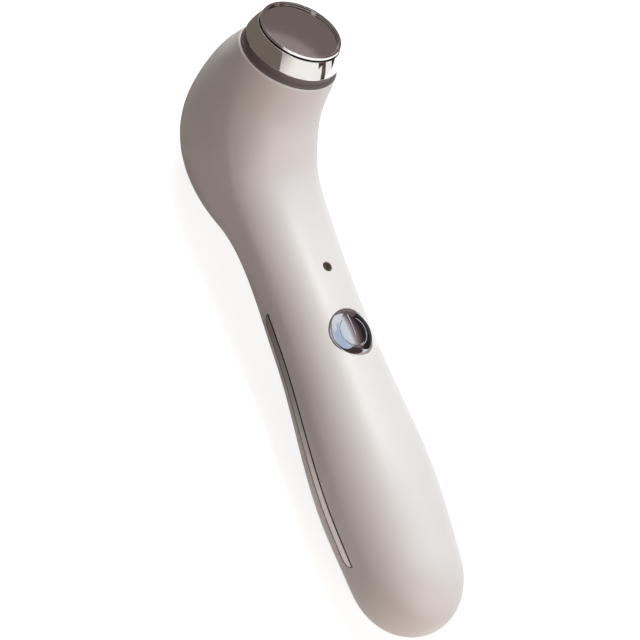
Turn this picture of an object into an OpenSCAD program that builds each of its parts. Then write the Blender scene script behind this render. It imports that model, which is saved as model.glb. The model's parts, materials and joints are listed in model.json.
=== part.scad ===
// Hand-held cooling facial massager, lying on its back, button side up.
// Every sub-part is drawn in the wand's own frame: X runs along the handle from the tail
// tip (0) towards the head, Z points out of the button side, Y points out of the left flank.
// placed() then lays the wand on the floor with its head towards -X.

/* [Handle] */
// Length of the straight grip, tail tip to the start of the neck bend
handle_l = 115.5; // [108:0.5:130]
// Length of the rounded tail end
tail_round = 16.5; // [14:0.5:19]
// Width where the tail rounding starts
shoulder_w = 27.8; // [26.5:0.1:30]
// Depth where the tail rounding starts
shoulder_d = 26.4; // [25.5:0.1:29]
// Place of the fullest section, from the tail tip
grip_at = 34; // [30:1:40]
// Width of the fullest section
grip_w = 30; // [28:0.2:33]
// Depth of the fullest section
grip_d = 28.6; // [27.6:0.2:31]
// Width of the section at the button
waist_w = 24.8; // [24:0.2:28]
// Depth of the section at the button
waist_d = 23.6; // [23:0.2:27]
// Distance of the neck section before the bend
neck_before_bend = 3; // [1:0.5:8]
// Width of the neck
neck_w = 26; // [24.4:0.2:28]
// Depth of the neck in front of its centre line
neck_front = 11.2; // [10.6:0.1:12]
// Depth of the neck behind its centre line
neck_back = 13.8; // [12:0.2:16]
// How square the back of the section is, 2 is an ellipse
back_fullness = 2.4; // [2.2:0.05:2.7]
// How square the front of the section is, 2 is an ellipse
front_fullness = 2.05; // [2:0.05:2.3]

/* [Head] */
// Radius of the centre line through the neck bend
bend_r = 27; // [25:0.5:31]
// Angle between the handle and the head's axis
head_angle = 67; // [60:1:72]
// Straight length of the head below its lip
head_l = 8.6; // [7.6:0.2:11]
// Share of the bend at which the back of the head is fullest
hump_share = 0.5; // [0.4:0.02:0.6]
// Width of the head at its fullest back
hump_w = 27.2; // [26.4:0.2:29]
// Depth of the head in front of the centre line there
hump_front = 13.8; // [13:0.1:14.6]
// Depth of the head behind the centre line there
hump_back = 27.6; // [24:0.2:29]
// Distance of the crown section before the lip
crown_before_lip = 12.5; // [11:0.5:15]
// Width of the head at the crown
crown_w = 26.9; // [26.4:0.1:28.4]
// Depth of the crown in front of the centre line
crown_front = 13.5; // [13.1:0.1:14.2]
// Depth of the crown behind the centre line
crown_back = 20; // [17.5:0.5:21.5]
// Diameter of the shell's lip
lip_d = 26; // [25.6:0.1:27.4]

/* [Shells] */
// Wall thickness of both shells
wall = 1.8; // [1.6:0.1:2]
// Distance of the seam behind the widest line
seam_back = 1.7; // [1.2:0.1:2.2]

/* [Side strips] */
// Gap between the tail rounding and the strip's lower end
strip_from_tail = 4.2; // [2:0.1:8]
// Length of each side strip
strip_l = 66.4; // [58:0.2:70]
// Width of each side strip
strip_w = 2.6; // [2.2:0.1:3.2]
// Thickness of each side strip
strip_t = 0.5; // [0.4:0.05:0.6]
// Gap round a strip in its groove
strip_gap = 0.2; // [0.12:0.02:0.24]
// Length over which the strip's lower end is rounded
strip_round = 3; // [2:0.5:5]
// Length over which the strip's upper end is rounded
strip_point = 3.5; // [2:0.5:14]

/* [Polished ring and cold plate] */
// Diameter of the polished ring at its foot
ring_foot_d = 24.8; // [24.4:0.1:25.4]
// Diameter of the polished ring at its top
ring_top_d = 21.6; // [21.2:0.1:22]
// Height of the polished ring's cone
ring_h = 4.6; // [4.3:0.1:5.6]
// Wall of the ring's skirt inside the shell
skirt_wall = 0.95; // [0.8:0.05:1]
// Length of the skirt below the lip
skirt_l = 5; // [4:0.5:6]
// Radial gap between the skirt and the shell
skirt_gap = 0.25; // [0.2:0.05:0.35]
// Height of the dark gasket between the lip and the ring
gasket_h = 2.5; // [1.8:0.1:3]
// Step from the ring's foot in to the gasket
gasket_inset = 0.4; // [0.3:0.05:0.5]
// Step from the ring's top edge in to the cold plate
plate_inset = 0.2; // [0.15:0.05:0.5]
// Thickness of the cold plate's rim
plate_t = 0.8; // [0.75:0.05:1.2]
// Width of the bevel round the cold plate's face
plate_bevel = 0.75; // [0.3:0.05:0.8]
// Height of the bevel round the cold plate's face
plate_bevel_h = 0.4; // [0.2:0.05:0.6]
// Thickness of the seal under the cold plate
seal_t = 0.35; // [0.3:0.05:0.5]
// Step from the cold plate's edge in to its boss
boss_inset = 1.6; // [1.5:0.1:1.9]
// Height of the cold plate's boss
boss_h = 1.35; // [1.3:0.05:1.8]

/* [Cooling stack] */
// Width of the thermoelectric module
module_w = 12; // [11:0.5:12.4]
// Thickness of each ceramic of the module
ceramic_t = 0.6; // [0.5:0.05:0.8]
// Height of the semiconductor pellets
pellet_h = 1.2; // [1:0.1:1.4]
// Pellets along each side of the module
pellet_rows = 7; // [5:1:8]
// Width of one pellet
pellet_w = 0.9; // [0.7:0.05:1]
// Diameter of the heat sink's base
sink_d = 19.6; // [19.2:0.1:19.8]
// Thickness of the heat sink's base
sink_base_t = 3; // [2.5:0.1:3.4]
// Diameter round the heat sink's fins
fin_round_d = 16; // [15:0.2:16.4]
// Length of the heat sink's fins
fin_l = 9.5; // [8:0.5:10.5]
// Number of fins
fin_count = 7; // [5:1:8]
// Thickness of one fin
fin_t = 0.9; // [0.7:0.05:1]
// Height of the retaining ring under the base
retainer_h = 2; // [1.6:0.1:2.4]
// Width of the notch that the leads pass through
lead_notch_w = 3.6; // [3.2:0.1:4]
// Diameter of the temperature sensor bead
sensor_d = 1.6; // [1.2:0.1:1.8]

/* [Power button] */
// Place of the button's centre, from the tail tip
button_at = 75; // [72:1:80]
// Diameter of the button
button_d = 12.2; // [11.6:0.1:12.6]
// Gap between the button and its hole
button_gap = 0.18; // [0.15:0.01:0.25]
// How far the button's rim sits below the front of the shell
button_sink = 0.9; // [0.7:0.05:1.2]
// Height of the button's dome above its rim
dome_h = 1.1; // [0.8:0.1:1.3]
// Height of the button's side below its rim
button_side = 2.1; // [2:0.1:2.3]
// Distance that the button travels when pressed
button_travel = 0.5; // [0.3:0.05:0.55]
// Length of each retaining ear past the button's side
ear_l = 1.2; // [0.9:0.1:1.4]
// Width of the retaining ears
ear_w = 3.6; // [3:0.2:4]
// Thickness of the retaining ears
ear_t = 0.6; // [0.5:0.05:0.7]
// Width of the tact switch
switch_w = 4.6; // [4:0.2:5]
// Height of the tact switch's body
switch_h = 1.5; // [1.3:0.1:1.6]
// Diameter of the switch's plunger
plunger_d = 2.4; // [2:0.1:2.6]

/* [Status light] */
// Place of the light, from the tail tip
light_at = 92.7; // [90:0.5:95]
// Diameter of the light's lens
lens_d = 2.5; // [2.2:0.1:2.8]
// How far the lens sits below the front of the shell
lens_sink = 0.4; // [0.3:0.05:0.6]
// Width of the flange that holds the lens
lens_flange = 0.7; // [0.5:0.05:0.8]
// Height of the light emitting diode
diode_h = 0.9; // [0.8:0.1:1]

/* [Inner frame and battery] */
// Thickness of the frame's plate
frame_t = 1.4; // [1.2:0.1:1.6]
// Width of the frame's plate
frame_w = 19; // [18.4:0.2:19.4]
// Start of the frame, from the tail tip
frame_from = 11.5; // [11:0.5:12]
// Diameter of the battery cell
cell_d = 13; // [12:0.1:13.2]
// Length of the battery cell
cell_l = 40; // [36:1:42]
// Start of the battery cell, from the tail tip
cell_from = 18; // [17.5:0.5:20]
// Drop of the cell's axis below the centre line
cell_drop = 4.1; // [3.9:0.05:4.3]
// Gap between the cell and the frame
cell_gap = 0.25; // [0.15:0.05:0.35]
// Diameter of the shell screws
screw_d = 1.4; // [1.2:0.1:1.6]
// Diameter of the shell screws' heads
screw_head_d = 2.4; // [2.2:0.05:2.5]
// Thickness of the shell screws' heads
screw_head_t = 0.5; // [0.4:0.05:0.55]
// Place of the lower pair of shell screws
screw_low_at = 31; // [28:1:34]
// Place of the upper pair of shell screws
screw_high_at = 67; // [64:1:69]
// Outer diameter of the frame's screw posts
post_d = 4; // [3.6:0.1:4.4]

/* [Circuit boards] */
// Thickness of the main board
board_t = 1.2; // [1:0.1:1.4]
// Width of the main board
board_w = 15; // [14:0.5:15.6]
// Width of the widest chip on the main board
chip_w = 7; // [6:0.5:8]
// Height of a middling chip on the main board
chip_t = 1; // [0.8:0.05:1.1]
// Start of the main board, from the tail tip
board_from = 24; // [22:1:27]
// Length of the main board
board_l = 74; // [73:0.5:75]
// Height of the spacers under the main board
spacer_h = 1; // [0.8:0.1:1.2]
// Length of the charging board
charge_l = 9; // [8:0.5:9.4]
// Width of the charging board
charge_w = 11; // [10.4:0.2:11.6]
// Thickness of the charging board
charge_t = 1; // [0.8:0.1:1.2]
// Width of the charging socket
port_w = 8.94; // [8.8:0.02:9]
// Height of the charging socket
port_h = 3.26; // [3.2:0.02:3.3]
// Length of the charging socket
port_l = 7.3; // [6.8:0.1:7.4]
// Drop of the charging socket below the centre line
port_drop = 5.2; // [4.8:0.1:5.4]
// How far the socket's mouth sits inside the tail
port_sink = 2.7; // [2.5:0.1:3]
// Gap between the socket and the shell
port_gap = 0.2; // [0.15:0.05:0.3]

/* [Vibration motor] */
// Diameter of the motor can
motor_d = 7; // [6:0.2:7.4]
// Length of the motor can
motor_l = 14; // [12:0.5:15]
// Start of the motor can, from the tail tip
motor_from = 99.5; // [99:0.5:101]
// Wall of the rubber sleeve round the can
sleeve_t = 0.9; // [0.7:0.1:1]
// Diameter of the motor's shaft
shaft_d = 1; // [0.8:0.1:1.2]
// Length of the shaft outside the can
shaft_l = 6.5; // [6:0.5:7]
// Radial gap between the shaft and its bearing
shaft_gap = 0.04; // [0.02:0.01:0.08]
// Radius of the eccentric weight
weight_r = 3.2; // [2.8:0.1:3.4]
// Length of the eccentric weight
weight_l = 4.5; // [4:0.5:5]
// Thickness of each lead's insulation across
lead_d = 1; // [0.8:0.05:1.1]
// Length of the motor's leads
motor_lead_l = 12; // [10:0.5:13]

/* [Hidden] */
$fn = 48;

// clearance kept between separate solids that only lie side by side
slip = 0.1;
// width of the slope at a groove's edge, which keeps every facet of the shell sound
edge_slope = 0.08;
// how far a cutter runs past what it cuts
over = 1;

// Centre line: straight handle, round bend, straight head
bend_arc = bend_r * head_angle * PI / 180;
spine_l = handle_l + bend_arc + head_l;
function spine_turn(u) = u < handle_l ? 0 : min(head_angle, (u - handle_l) / bend_r * 180 / PI);
function spine(u) =
    u < handle_l ? [u, 0] :
    let (t = spine_turn(u), past = max(0, u - handle_l - bend_arc))
    [handle_l + bend_r * sin(t) + past * cos(t), bend_r * (1 - cos(t)) + past * sin(t)];
// point at a place u along the centre line, y to the left and q towards the front
function in_section(u, y, q) =
    let (t = spine_turn(u), c = spine(u)) [c[0] - q * sin(t), y, c[1] + q * cos(t)];

// Section sizes along the centre line, as smooth curves through the named sections
waist_at = button_at + 2;
section_at = [tail_round, grip_at, waist_at, handle_l - neck_before_bend,
              handle_l + bend_arc * hump_share, spine_l - crown_before_lip, spine_l];
half_widths = [shoulder_w, grip_w, waist_w, neck_w, hump_w, crown_w, lip_d] / 2;
front_depths = [shoulder_d / 2, grip_d / 2, waist_d / 2, neck_front, hump_front, crown_front, lip_d / 2];
back_depths = [shoulder_d / 2, grip_d / 2, waist_d / 2, neck_back, hump_back, crown_back, lip_d / 2];
function slope_between(v, i) = (v[i + 1] - v[i]) / (section_at[i + 1] - section_at[i]);
function slope_at(v, i) =
    i == 0 ? slope_between(v, 0) :
    i == len(v) - 1 ? slope_between(v, i - 1) :
    let (before = section_at[i] - section_at[i - 1], after = section_at[i + 1] - section_at[i])
    (slope_between(v, i - 1) * after + slope_between(v, i) * before) / (before + after);
function span_of(u, i = 0) = i >= len(section_at) - 2 || u < section_at[i + 1] ? i : span_of(u, i + 1);
function along(v, u) =
    let (w = max(u, section_at[0]), i = span_of(w), h = section_at[i + 1] - section_at[i],
         t = (w - section_at[i]) / h, t2 = t * t, t3 = t2 * t)
    (2 * t3 - 3 * t2 + 1) * v[i] + (t3 - 2 * t2 + t) * h * slope_at(v, i)
    + (3 * t2 - 2 * t3) * v[i + 1] + (t3 - t2) * h * slope_at(v, i + 1);
// share of the full section inside the rounded tail, for a surface lying deep mm inside
function tail_share(u, deep) =
    u >= tail_round ? 1 : sqrt(max(0, 1 - pow((tail_round - u) / (tail_round - deep), 2)));
// the section turns from fuller than an ellipse to a true circle at the lip
function roundness(u) = let (t = min(1, max(0, (spine_l - u) / (spine_l - handle_l)))) t * t * (3 - 2 * t);
function fullness(u, full) = 2 + (full - 2) * roundness(u);
// half width and depths of the surface lying deep mm inside the outer one
function section(u, deep) =
    [for (v = [half_widths, front_depths, back_depths]) (along(v, u) - deep) * tail_share(u, deep)];
// point of a section at an angle a: 0 is the left flank, 90 the front, 270 the back
function rim(u, a, deep) =
    let (s = section(u, deep), front = sin(a) >= 0,
         p = 2 / fullness(u, front ? front_fullness : back_fullness),
         y = s[0] * sign(cos(a)) * pow(abs(cos(a)), p),
         q = (front ? s[1] : -s[2]) * pow(abs(sin(a)), p))
    in_section(u, y, q);
// angle at which a section passes a depth q behind its widest line
function angle_behind(u, q, deep) =
    let (s = section(u, deep)) -asin(pow(min(0.9, q / max(s[2], 0.01)), fullness(u, back_fullness) / 2));
// half width of the surface lying deep mm inside, at a place u and a height q
function width_at(u, q, deep) =
    let (s = section(u, deep), front = q >= 0, d = front ? s[1] : s[2],
         p = fullness(u, front ? front_fullness : back_fullness))
    s[0] * pow(max(0, 1 - pow(abs(q) / d, p)), 1 / p);
function front_at(u) = along(front_depths, u);

// Heights and places shared by several sub-parts
plate_d = ring_top_d - 2 * plate_inset;
boss_d = plate_d - 2 * boss_inset;
skirt_r = lip_d / 2 - wall - skirt_gap;
skirt_in_r = skirt_r - skirt_wall;
gasket_r = ring_foot_d / 2 - gasket_inset;
ring_top = gasket_h + ring_h;
plate_base = ring_top + seal_t;
plate_top = plate_base + plate_t;
boss_foot = plate_base - boss_h;
boss_hole_r = boss_d / 2 + slip;
cold_z = boss_foot - ceramic_t;
pellet_z = cold_z - pellet_h;
hot_z = pellet_z - ceramic_t;
sink_z = hot_z - sink_base_t;
frame_z = -cell_drop + cell_d / 2 + cell_gap;
board_z = frame_z + frame_t + spacer_h;
board_top = board_z + board_t;
board_to = board_from + board_l;
switch_top = board_top + switch_h;
button_rim_z = front_at(button_at) - button_sink;
button_foot_z = button_rim_z - button_side;
plunger_top = button_foot_z - slip;
light_z = front_at(light_at);
motor_z = frame_z - slip - motor_d / 2 - sleeve_t;
motor_to = motor_from + motor_l;
frame_to = motor_to - 2;
frame_neck = board_to - 2;
screw_z = -seam_back - strip_gap - strip_w / 2;
screw_places = [screw_low_at, screw_high_at];
board_screw_places = [board_from + 5, light_at - 9];
board_screw_y = board_w / 2 - 2;
charge_from = port_sink + port_l - 3.4;
charge_z = -port_drop + port_h / 2;

// The wand's resting place: its back touches the floor at the grip and at the head
rest_steps = concat([for (i = [1:12]) tail_round * i / 12], [for (u = [18:1.5:spine_l]) u]);
grip_back = [for (u = rest_steps) if (u < handle_l) rim(u, 270, 0)];
head_back = [for (u = rest_steps) if (u >= handle_l) rim(u, 270, 0)];
function height_in(p, tilt) = p[2] * cos(tilt) + p[0] * sin(tilt);
function reach_in(p, tilt) = p[0] * cos(tilt) - p[2] * sin(tilt);
function lowest(pts, tilt) = min([for (p = pts) height_in(p, tilt)]);
function settle(low, high, n) =
    let (mid = (low + high) / 2)
    n == 0 ? mid :
    lowest(head_back, mid) < lowest(grip_back, mid) ? settle(mid, high, n - 1) : settle(low, mid, n - 1);
rest_tilt = settle(0, 20, 24);
rest_lift = -min(lowest(head_back, rest_tilt), lowest(grip_back, rest_tilt));
head_rims = [[lip_d / 2, 0], [ring_foot_d / 2, gasket_h], [ring_top_d / 2, gasket_h + ring_h],
             [plate_d / 2, plate_top - plate_bevel_h], [plate_d / 2 - plate_bevel, plate_top]];
function on_head(y, q, h) =
    let (t = head_angle, c = spine(spine_l)) [c[0] - q * sin(t) + h * cos(t), y, c[1] + q * cos(t) + h * sin(t)];
outline = concat(grip_back, head_back, [for (u = rest_steps) rim(u, 90, 0)], [[0, 0, 0]],
                 [for (r = head_rims, side = [-1, 1]) on_head(0, side * r[0], r[1])]);
reaches = [for (p = outline) reach_in(p, rest_tilt)];
rest_middle = (min(reaches) + max(reaches)) / 2;
module placed() {
    rotate([0, 0, 180]) translate([-rest_middle, 0, rest_lift]) rotate([0, -rest_tilt, 0]) children();
}
// the head's own frame: Z out of the cold plate, origin on the lip's plane, X towards the front
module head_frame() {
    c = spine(spine_l);
    translate([c[0], 0, c[1]]) rotate([0, 90 - head_angle, 0]) rotate([0, 0, 180]) children();
}

// Stations of the shell's facets along the centre line
tail_steps = 9;
strip_from = tail_round + strip_from_tail;
strip_to = strip_from + strip_l;
strip_steps = 20;
function eased(i, n) = (1 - cos(180 * i / n)) / 2;
stations = concat(
    [for (i = [0:tail_steps - 1]) tail_round * (1 - sin(90 * (1 - (i + 0.35) / tail_steps)))],
    [tail_round, strip_from - edge_slope],
    [for (i = [0:strip_steps]) strip_from + strip_l * eased(i, strip_steps)],
    [strip_to + edge_slope],
    [for (i = [1:6]) strip_to + (handle_l - strip_to) * i / 6],
    [for (i = [1:13]) handle_l + bend_arc * i / 13],
    [for (i = [1:3]) spine_l - head_l + head_l * i / 3]);
function inner_station(u) = wall + u * (1 - wall / tail_round);
function station_inside(u) = u < tail_round ? inner_station(u) : u;

// Side strips: straight along the seam, rounded behind it at both ends
groove_deep = strip_t + slip;
function strip_share(u) =
    let (low = min(1, max(0, (u - strip_from) / strip_round)),
         high = min(1, max(0, (strip_to - u) / strip_point)))
    sqrt(1 - pow(1 - low, 2)) * sqrt(1 - pow(1 - high, 2.4));
function strip_edge(u) = seam_back + strip_gap + max(0.15, strip_w * strip_share(u));
function strip_station(i) =
    i == 0 ? strip_from + strip_gap :
    i == strip_steps ? strip_to - strip_gap :
    strip_from + strip_l * eased(i, strip_steps);
function in_strip(u) = u > strip_from - edge_slope / 2 && u < strip_to + edge_slope / 2;
function groove_edge(u) = strip_edge(u) + strip_gap;

// One shell as a ring of points at each station: its outer face, then its inner face
arc_steps = 26;
function spread(low, high, n) = [for (i = [0:n]) low + (high - low) * i / n];
function front_ring(u) =
    let (v = station_inside(u), a = angle_behind(u, seam_back, 0), b = angle_behind(v, seam_back, wall))
    concat([for (t = spread(a, 180 - a, arc_steps)) rim(u, t, 0)],
           [for (t = spread(180 - b, b, arc_steps)) rim(v, t, wall)]);
function rear_ring(u) =
    let (v = station_inside(u), b = angle_behind(v, seam_back, wall), cut = in_strip(u) ? groove_deep : 0,
         a = angle_behind(u, seam_back, cut), g = angle_behind(u, groove_edge(u), cut),
         t = spread(angle_behind(u, groove_edge(u) + edge_slope, 0),
                    -180 - angle_behind(u, groove_edge(u) + edge_slope, 0), arc_steps - 4))
    concat([rim(u, a, cut), rim(u, g, cut)], [for (w = t) rim(u, w, 0)],
           [rim(u, -180 - g, cut), rim(u, -180 - a, cut)],
           [for (w = spread(-180 - b, b, arc_steps)) rim(v, w, wall)]);
// skin over a list of rings that all have the same number of points
function skin_faces(rings, n) = concat(
    [for (i = [0:rings - 2], j = [0:n - 1]) let (k = (j + 1) % n) [i * n + j, i * n + k, (i + 1) * n + k]],
    [for (i = [0:rings - 2], j = [0:n - 1]) let (k = (j + 1) % n) [i * n + j, (i + 1) * n + k, (i + 1) * n + j]]);
// fan over the first half of a ring, or over the second half
function half_cap(start, n, flip) =
    [for (j = [1:n - 2]) flip ? [start, start + j + 1, start + j] : [start, start + j, start + j + 1]];
module half_shell(ring_list, flip) {
    n = len(ring_list[0]);
    h = n / 2;
    last = (len(ring_list) - 1) * n;
    ends = concat(
        half_cap(0, h, true),
        half_cap(h, h, true),
        [[0, h, h - 1], [0, n - 1, h]],
        [for (j = [0:h - 2]) [last + j, last + j + 1, last + n - 2 - j]],
        [for (j = [0:h - 2]) [last + j, last + n - 2 - j, last + n - 1 - j]]);
    faces = concat(skin_faces(len(ring_list), n), ends);
    polyhedron(points = [for (r = ring_list) each r],
               faces = flip ? faces : [for (f = faces) [f[2], f[1], f[0]]], convexity = 8);
}

module both_sides() {
    children();
    mirror([0, 1, 0]) children();
}
module screw_line(u) {
    translate([u, 0, screw_z]) rotate([-90, 0, 0]) children();
}
// a lead of a given thickness through round points, as one skin
function unit(v) = v / norm(v);
function lead_way(pts, i) = unit(pts[min(len(pts) - 1, i + 1)] - pts[max(0, i - 1)]);
function blend_point(p0, p1, p2, p3, t) =
    0.5 * (2 * p1 + (p2 - p0) * t + (2 * p0 - 5 * p1 + 4 * p2 - p3) * t * t
           + (3 * p1 - p0 - 3 * p2 + p3) * t * t * t);
function lead_curve(pts, steps) = let (n = len(pts)) concat(
    [for (i = [0:n - 2], s = [0:steps - 1])
        blend_point(pts[max(0, i - 1)], pts[i], pts[i + 1], pts[min(n - 1, i + 2)], s / steps)],
    [pts[n - 1]]);
module lead(pts, d) {
    sides = 6;
    curve = lead_curve(pts, 4);
    rings = [for (i = [0:len(curve) - 1])
        let (w = lead_way(curve, i), a = unit(cross(w, [0, 1, 0.01])), b = cross(w, a))
        for (k = [0:sides - 1]) curve[i] + d / 2 * (a * cos(60 * k) + b * sin(60 * k))];
    last = (len(curve) - 1) * sides;
    faces = concat(skin_faces(len(curve), sides),
                   [for (k = [1:sides - 2]) [0, k + 1, k]],
                   [for (k = [1:sides - 2]) [last, last + k, last + k + 1]]);
    polyhedron(points = rings, faces = [for (f = faces) [f[2], f[1], f[0]]], convexity = 4);
}

module front_shell() color([0.87, 0.85, 0.83]) placed() difference() {
    half_shell([for (u = stations) front_ring(u)], false);
    translate([button_at, 0, 0]) cylinder(r = button_d / 2 + button_gap, h = front_at(button_at) + over);
    translate([light_at, 0, 0]) cylinder(d = lens_d + slip, h = light_z + over);
}
module rear_shell() color([0.87, 0.85, 0.83]) placed() difference() {
    half_shell([for (u = stations) rear_ring(u)], true);
    for (u = screw_places) both_sides() screw_line(u) {
        translate([0, 0, cell_d / 2]) cylinder(d = screw_d + slip, h = grip_w);
        translate([0, 0, screw_seat(u) - screw_head_t]) cylinder(d = screw_head_d + slip, h = over + wall);
    }
    translate([-over, 0, -port_drop]) rotate([0, 90, 0]) rotate([0, 0, 90])
        linear_extrude(port_sink + port_l + over + port_gap) slot_shape(port_w + 2 * port_gap, port_h + 2 * port_gap);
}
// face that a screw's head lies flush with: the deepest part of the groove over the head
function screw_seat(u) = min([for (v = [-1, 0, 1], q = [-1, 0, 1])
    width_at(u + v * screw_head_d / 2, screw_z + q * screw_head_d / 2, groove_deep)]) - slip / 2;
module slot_shape(w, h) {
    square([w - h, h], center = true);
    for (s = [-1, 1]) translate([s * (w - h) / 2, 0]) circle(d = h, $fn = 32);
}
module strip() {
    n = 4;
    rings = [for (i = [0:strip_steps]) let (
            u = strip_station(i), low = seam_back + strip_gap, high = strip_edge(u),
            a = angle_behind(u, low, 0), b = angle_behind(u, high, 0),
            c = angle_behind(u, low, strip_t), d = angle_behind(u, high, strip_t))
        concat([for (t = spread(a, b, n)) rim(u, t, 0)], [for (t = spread(d, c, n)) rim(u, t, strip_t)])];
    m = 2 * (n + 1);
    last = strip_steps * m;
    faces = concat(skin_faces(strip_steps + 1, m),
        [for (j = [0:n - 1]) [0 + j, m - 2 - j, j + 1]], [for (j = [0:n - 1]) [j, m - 1 - j, m - 2 - j]],
        [for (j = [0:n - 1]) [last + j, last + j + 1, last + m - 2 - j]],
        [for (j = [0:n - 1]) [last + j, last + m - 2 - j, last + m - 1 - j]]);
    polyhedron(points = [for (r = rings) each r], faces = faces, convexity = 4);
}
module left_strip() color([0.66, 0.62, 0.59]) placed() strip();
module right_strip() color([0.66, 0.62, 0.59]) placed() mirror([0, 1, 0]) strip();
module shell_screws() color([0.55, 0.55, 0.56]) placed() for (u = screw_places) both_sides() screw_line(u) {
    seat = screw_seat(u);
    translate([0, 0, seat - screw_head_t]) cylinder(d = screw_head_d, h = screw_head_t);
    translate([0, 0, post_inner + over]) cylinder(d = screw_d, h = seat - screw_head_t / 2 - post_inner - over);
}
// the polished cone, with a skirt that reaches down inside the shell
module head_ring() color([0.8, 0.79, 0.78]) placed() head_frame() rotate_extrude($fn = 96) polygon([
    [skirt_in_r, -skirt_l], [skirt_r, -skirt_l], [skirt_r, gasket_h], [ring_foot_d / 2, gasket_h],
    [ring_foot_d / 2, gasket_h + 0.3], [ring_top_d / 2 + 0.1, ring_top - 0.15], [ring_top_d / 2 - 0.1, ring_top],
    [boss_hole_r, ring_top], [boss_hole_r, ring_top - 0.9], [skirt_in_r, ring_top - 1.6]]);
module ring_gasket() color([0.3, 0.27, 0.26]) placed() head_frame() rotate_extrude($fn = 96) polygon([
    [skirt_r + skirt_gap / 2, 0], [gasket_r, 0], [gasket_r, gasket_h], [skirt_r + skirt_gap / 2, gasket_h]]);
module cold_plate() color([0.78, 0.77, 0.76]) placed() head_frame() rotate_extrude($fn = 96) polygon([
    [0, boss_foot], [boss_d / 2, boss_foot], [boss_d / 2, plate_base], [plate_d / 2, plate_base],
    [plate_d / 2, plate_top - plate_bevel_h], [plate_d / 2 - plate_bevel, plate_top], [0, plate_top]]);
module plate_seal() color([0.05, 0.05, 0.05]) placed() head_frame() translate([0, 0, ring_top]) difference() {
    cylinder(d = plate_d - slip, h = seal_t, $fn = 96);
    translate([0, 0, -over]) cylinder(r = boss_hole_r, h = seal_t + 2 * over, $fn = 96);
}
module ceramic(z) head_frame() translate([-module_w / 2, -module_w / 2, z]) cube([module_w, module_w, ceramic_t]);
module cold_ceramic() color([0.95, 0.95, 0.93]) placed() ceramic(cold_z);
module hot_ceramic() color([0.95, 0.95, 0.93]) placed() ceramic(hot_z);
module pellets() color([0.45, 0.46, 0.5]) placed() head_frame() {
    pitch = (module_w - 2 * pellet_w) / (pellet_rows - 1);
    for (i = [0:pellet_rows - 1], j = [0:pellet_rows - 1])
        translate([(i - (pellet_rows - 1) / 2) * pitch, (j - (pellet_rows - 1) / 2) * pitch, pellet_z + pellet_h / 2])
            cube([pellet_w, pellet_w, pellet_h], center = true);
}
module lead_notch() translate([module_w / 2 + 1, -lead_notch_w / 2, sink_z - fin_l])
    cube([sink_d, lead_notch_w, fin_l + sink_base_t + over]);
module heat_sink() color([0.72, 0.73, 0.75]) placed() head_frame() difference() {
    union() {
        translate([0, 0, sink_z]) cylinder(d = sink_d, h = sink_base_t, $fn = 64);
        intersection() {
            translate([0, 0, sink_z - fin_l]) cylinder(d = fin_round_d, h = fin_l + 0.5, $fn = 64);
            for (i = [0:fin_count - 1])
                translate([0, (i - (fin_count - 1) / 2) * (fin_round_d - 2 * fin_t) / (fin_count - 1), sink_z - fin_l / 2])
                    cube([sink_d, fin_t, fin_l + 1], center = true);
        }
    }
    lead_notch();
}
module sink_retainer() color([0.75, 0.62, 0.36]) placed() head_frame() difference() {
    translate([0, 0, sink_z - retainer_h]) cylinder(r = skirt_in_r - slip, h = retainer_h, $fn = 64);
    translate([0, 0, sink_z - retainer_h - over]) cylinder(d = fin_round_d + 2 * slip, h = retainer_h + 2 * over, $fn = 64);
    lead_notch();
}
module temperature_sensor() color([0.12, 0.12, 0.12]) placed() head_frame()
    translate([-module_w / 2 - sensor_d / 2 - slip, 0, boss_foot - sensor_d / 2]) rotate([90, 0, 0])
        cylinder(d = sensor_d, h = 3, center = true, $fn = 24);

module power_button() color([0.75, 0.76, 0.8]) placed() translate([button_at, 0, 0]) {
    rotate_extrude($fn = 96) polygon(concat(
        [[0, plunger_top], [plunger_d / 2, plunger_top], [plunger_d / 2, button_foot_z], [button_d / 2, button_foot_z]],
        [for (i = [0:10]) let (t = i / 10)
            [button_d / 2 * cos(90 * t) , button_rim_z + dome_h * pow(sin(90 * t), 0.8)]]));
    for (s = [-1, 1]) translate([s * (button_d / 2 + ear_l / 2 - 0.3), 0, button_foot_z + ear_t / 2])
        cube([ear_l + 0.6, ear_w, ear_t], center = true);
}
module switch_plunger() color([0.15, 0.15, 0.16]) placed()
    translate([button_at, 0, plunger_foot]) cylinder(d = plunger_d, h = plunger_top - plunger_foot, $fn = 32);
plunger_foot = switch_top - button_travel;
module tact_switch() color([0.2, 0.2, 0.21]) placed() difference() {
    translate([button_at - switch_w / 2, -switch_w / 2, board_top]) cube([switch_w, switch_w, switch_h]);
    translate([button_at, 0, plunger_foot - button_travel - slip]) cylinder(d = plunger_d + slip, h = switch_h + over, $fn = 32);
}
module led_lens() color([0.2, 0.15, 0.14]) placed() translate([light_at, 0, 0]) {
    translate([0, 0, board_top + diode_h + slip])
        cylinder(d = lens_d, h = light_z - lens_sink - board_top - diode_h - slip, $fn = 32);
    translate([0, 0, board_top + diode_h + slip])
        cylinder(d = lens_d + 2 * lens_flange, h = light_z - wall - 2 * slip - board_top - diode_h - slip, $fn = 32);
}
module status_led() color([0.95, 0.93, 0.8]) placed()
    translate([light_at - 1.4, -0.8, board_top]) cube([2.8, 1.6, diode_h]);

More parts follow.
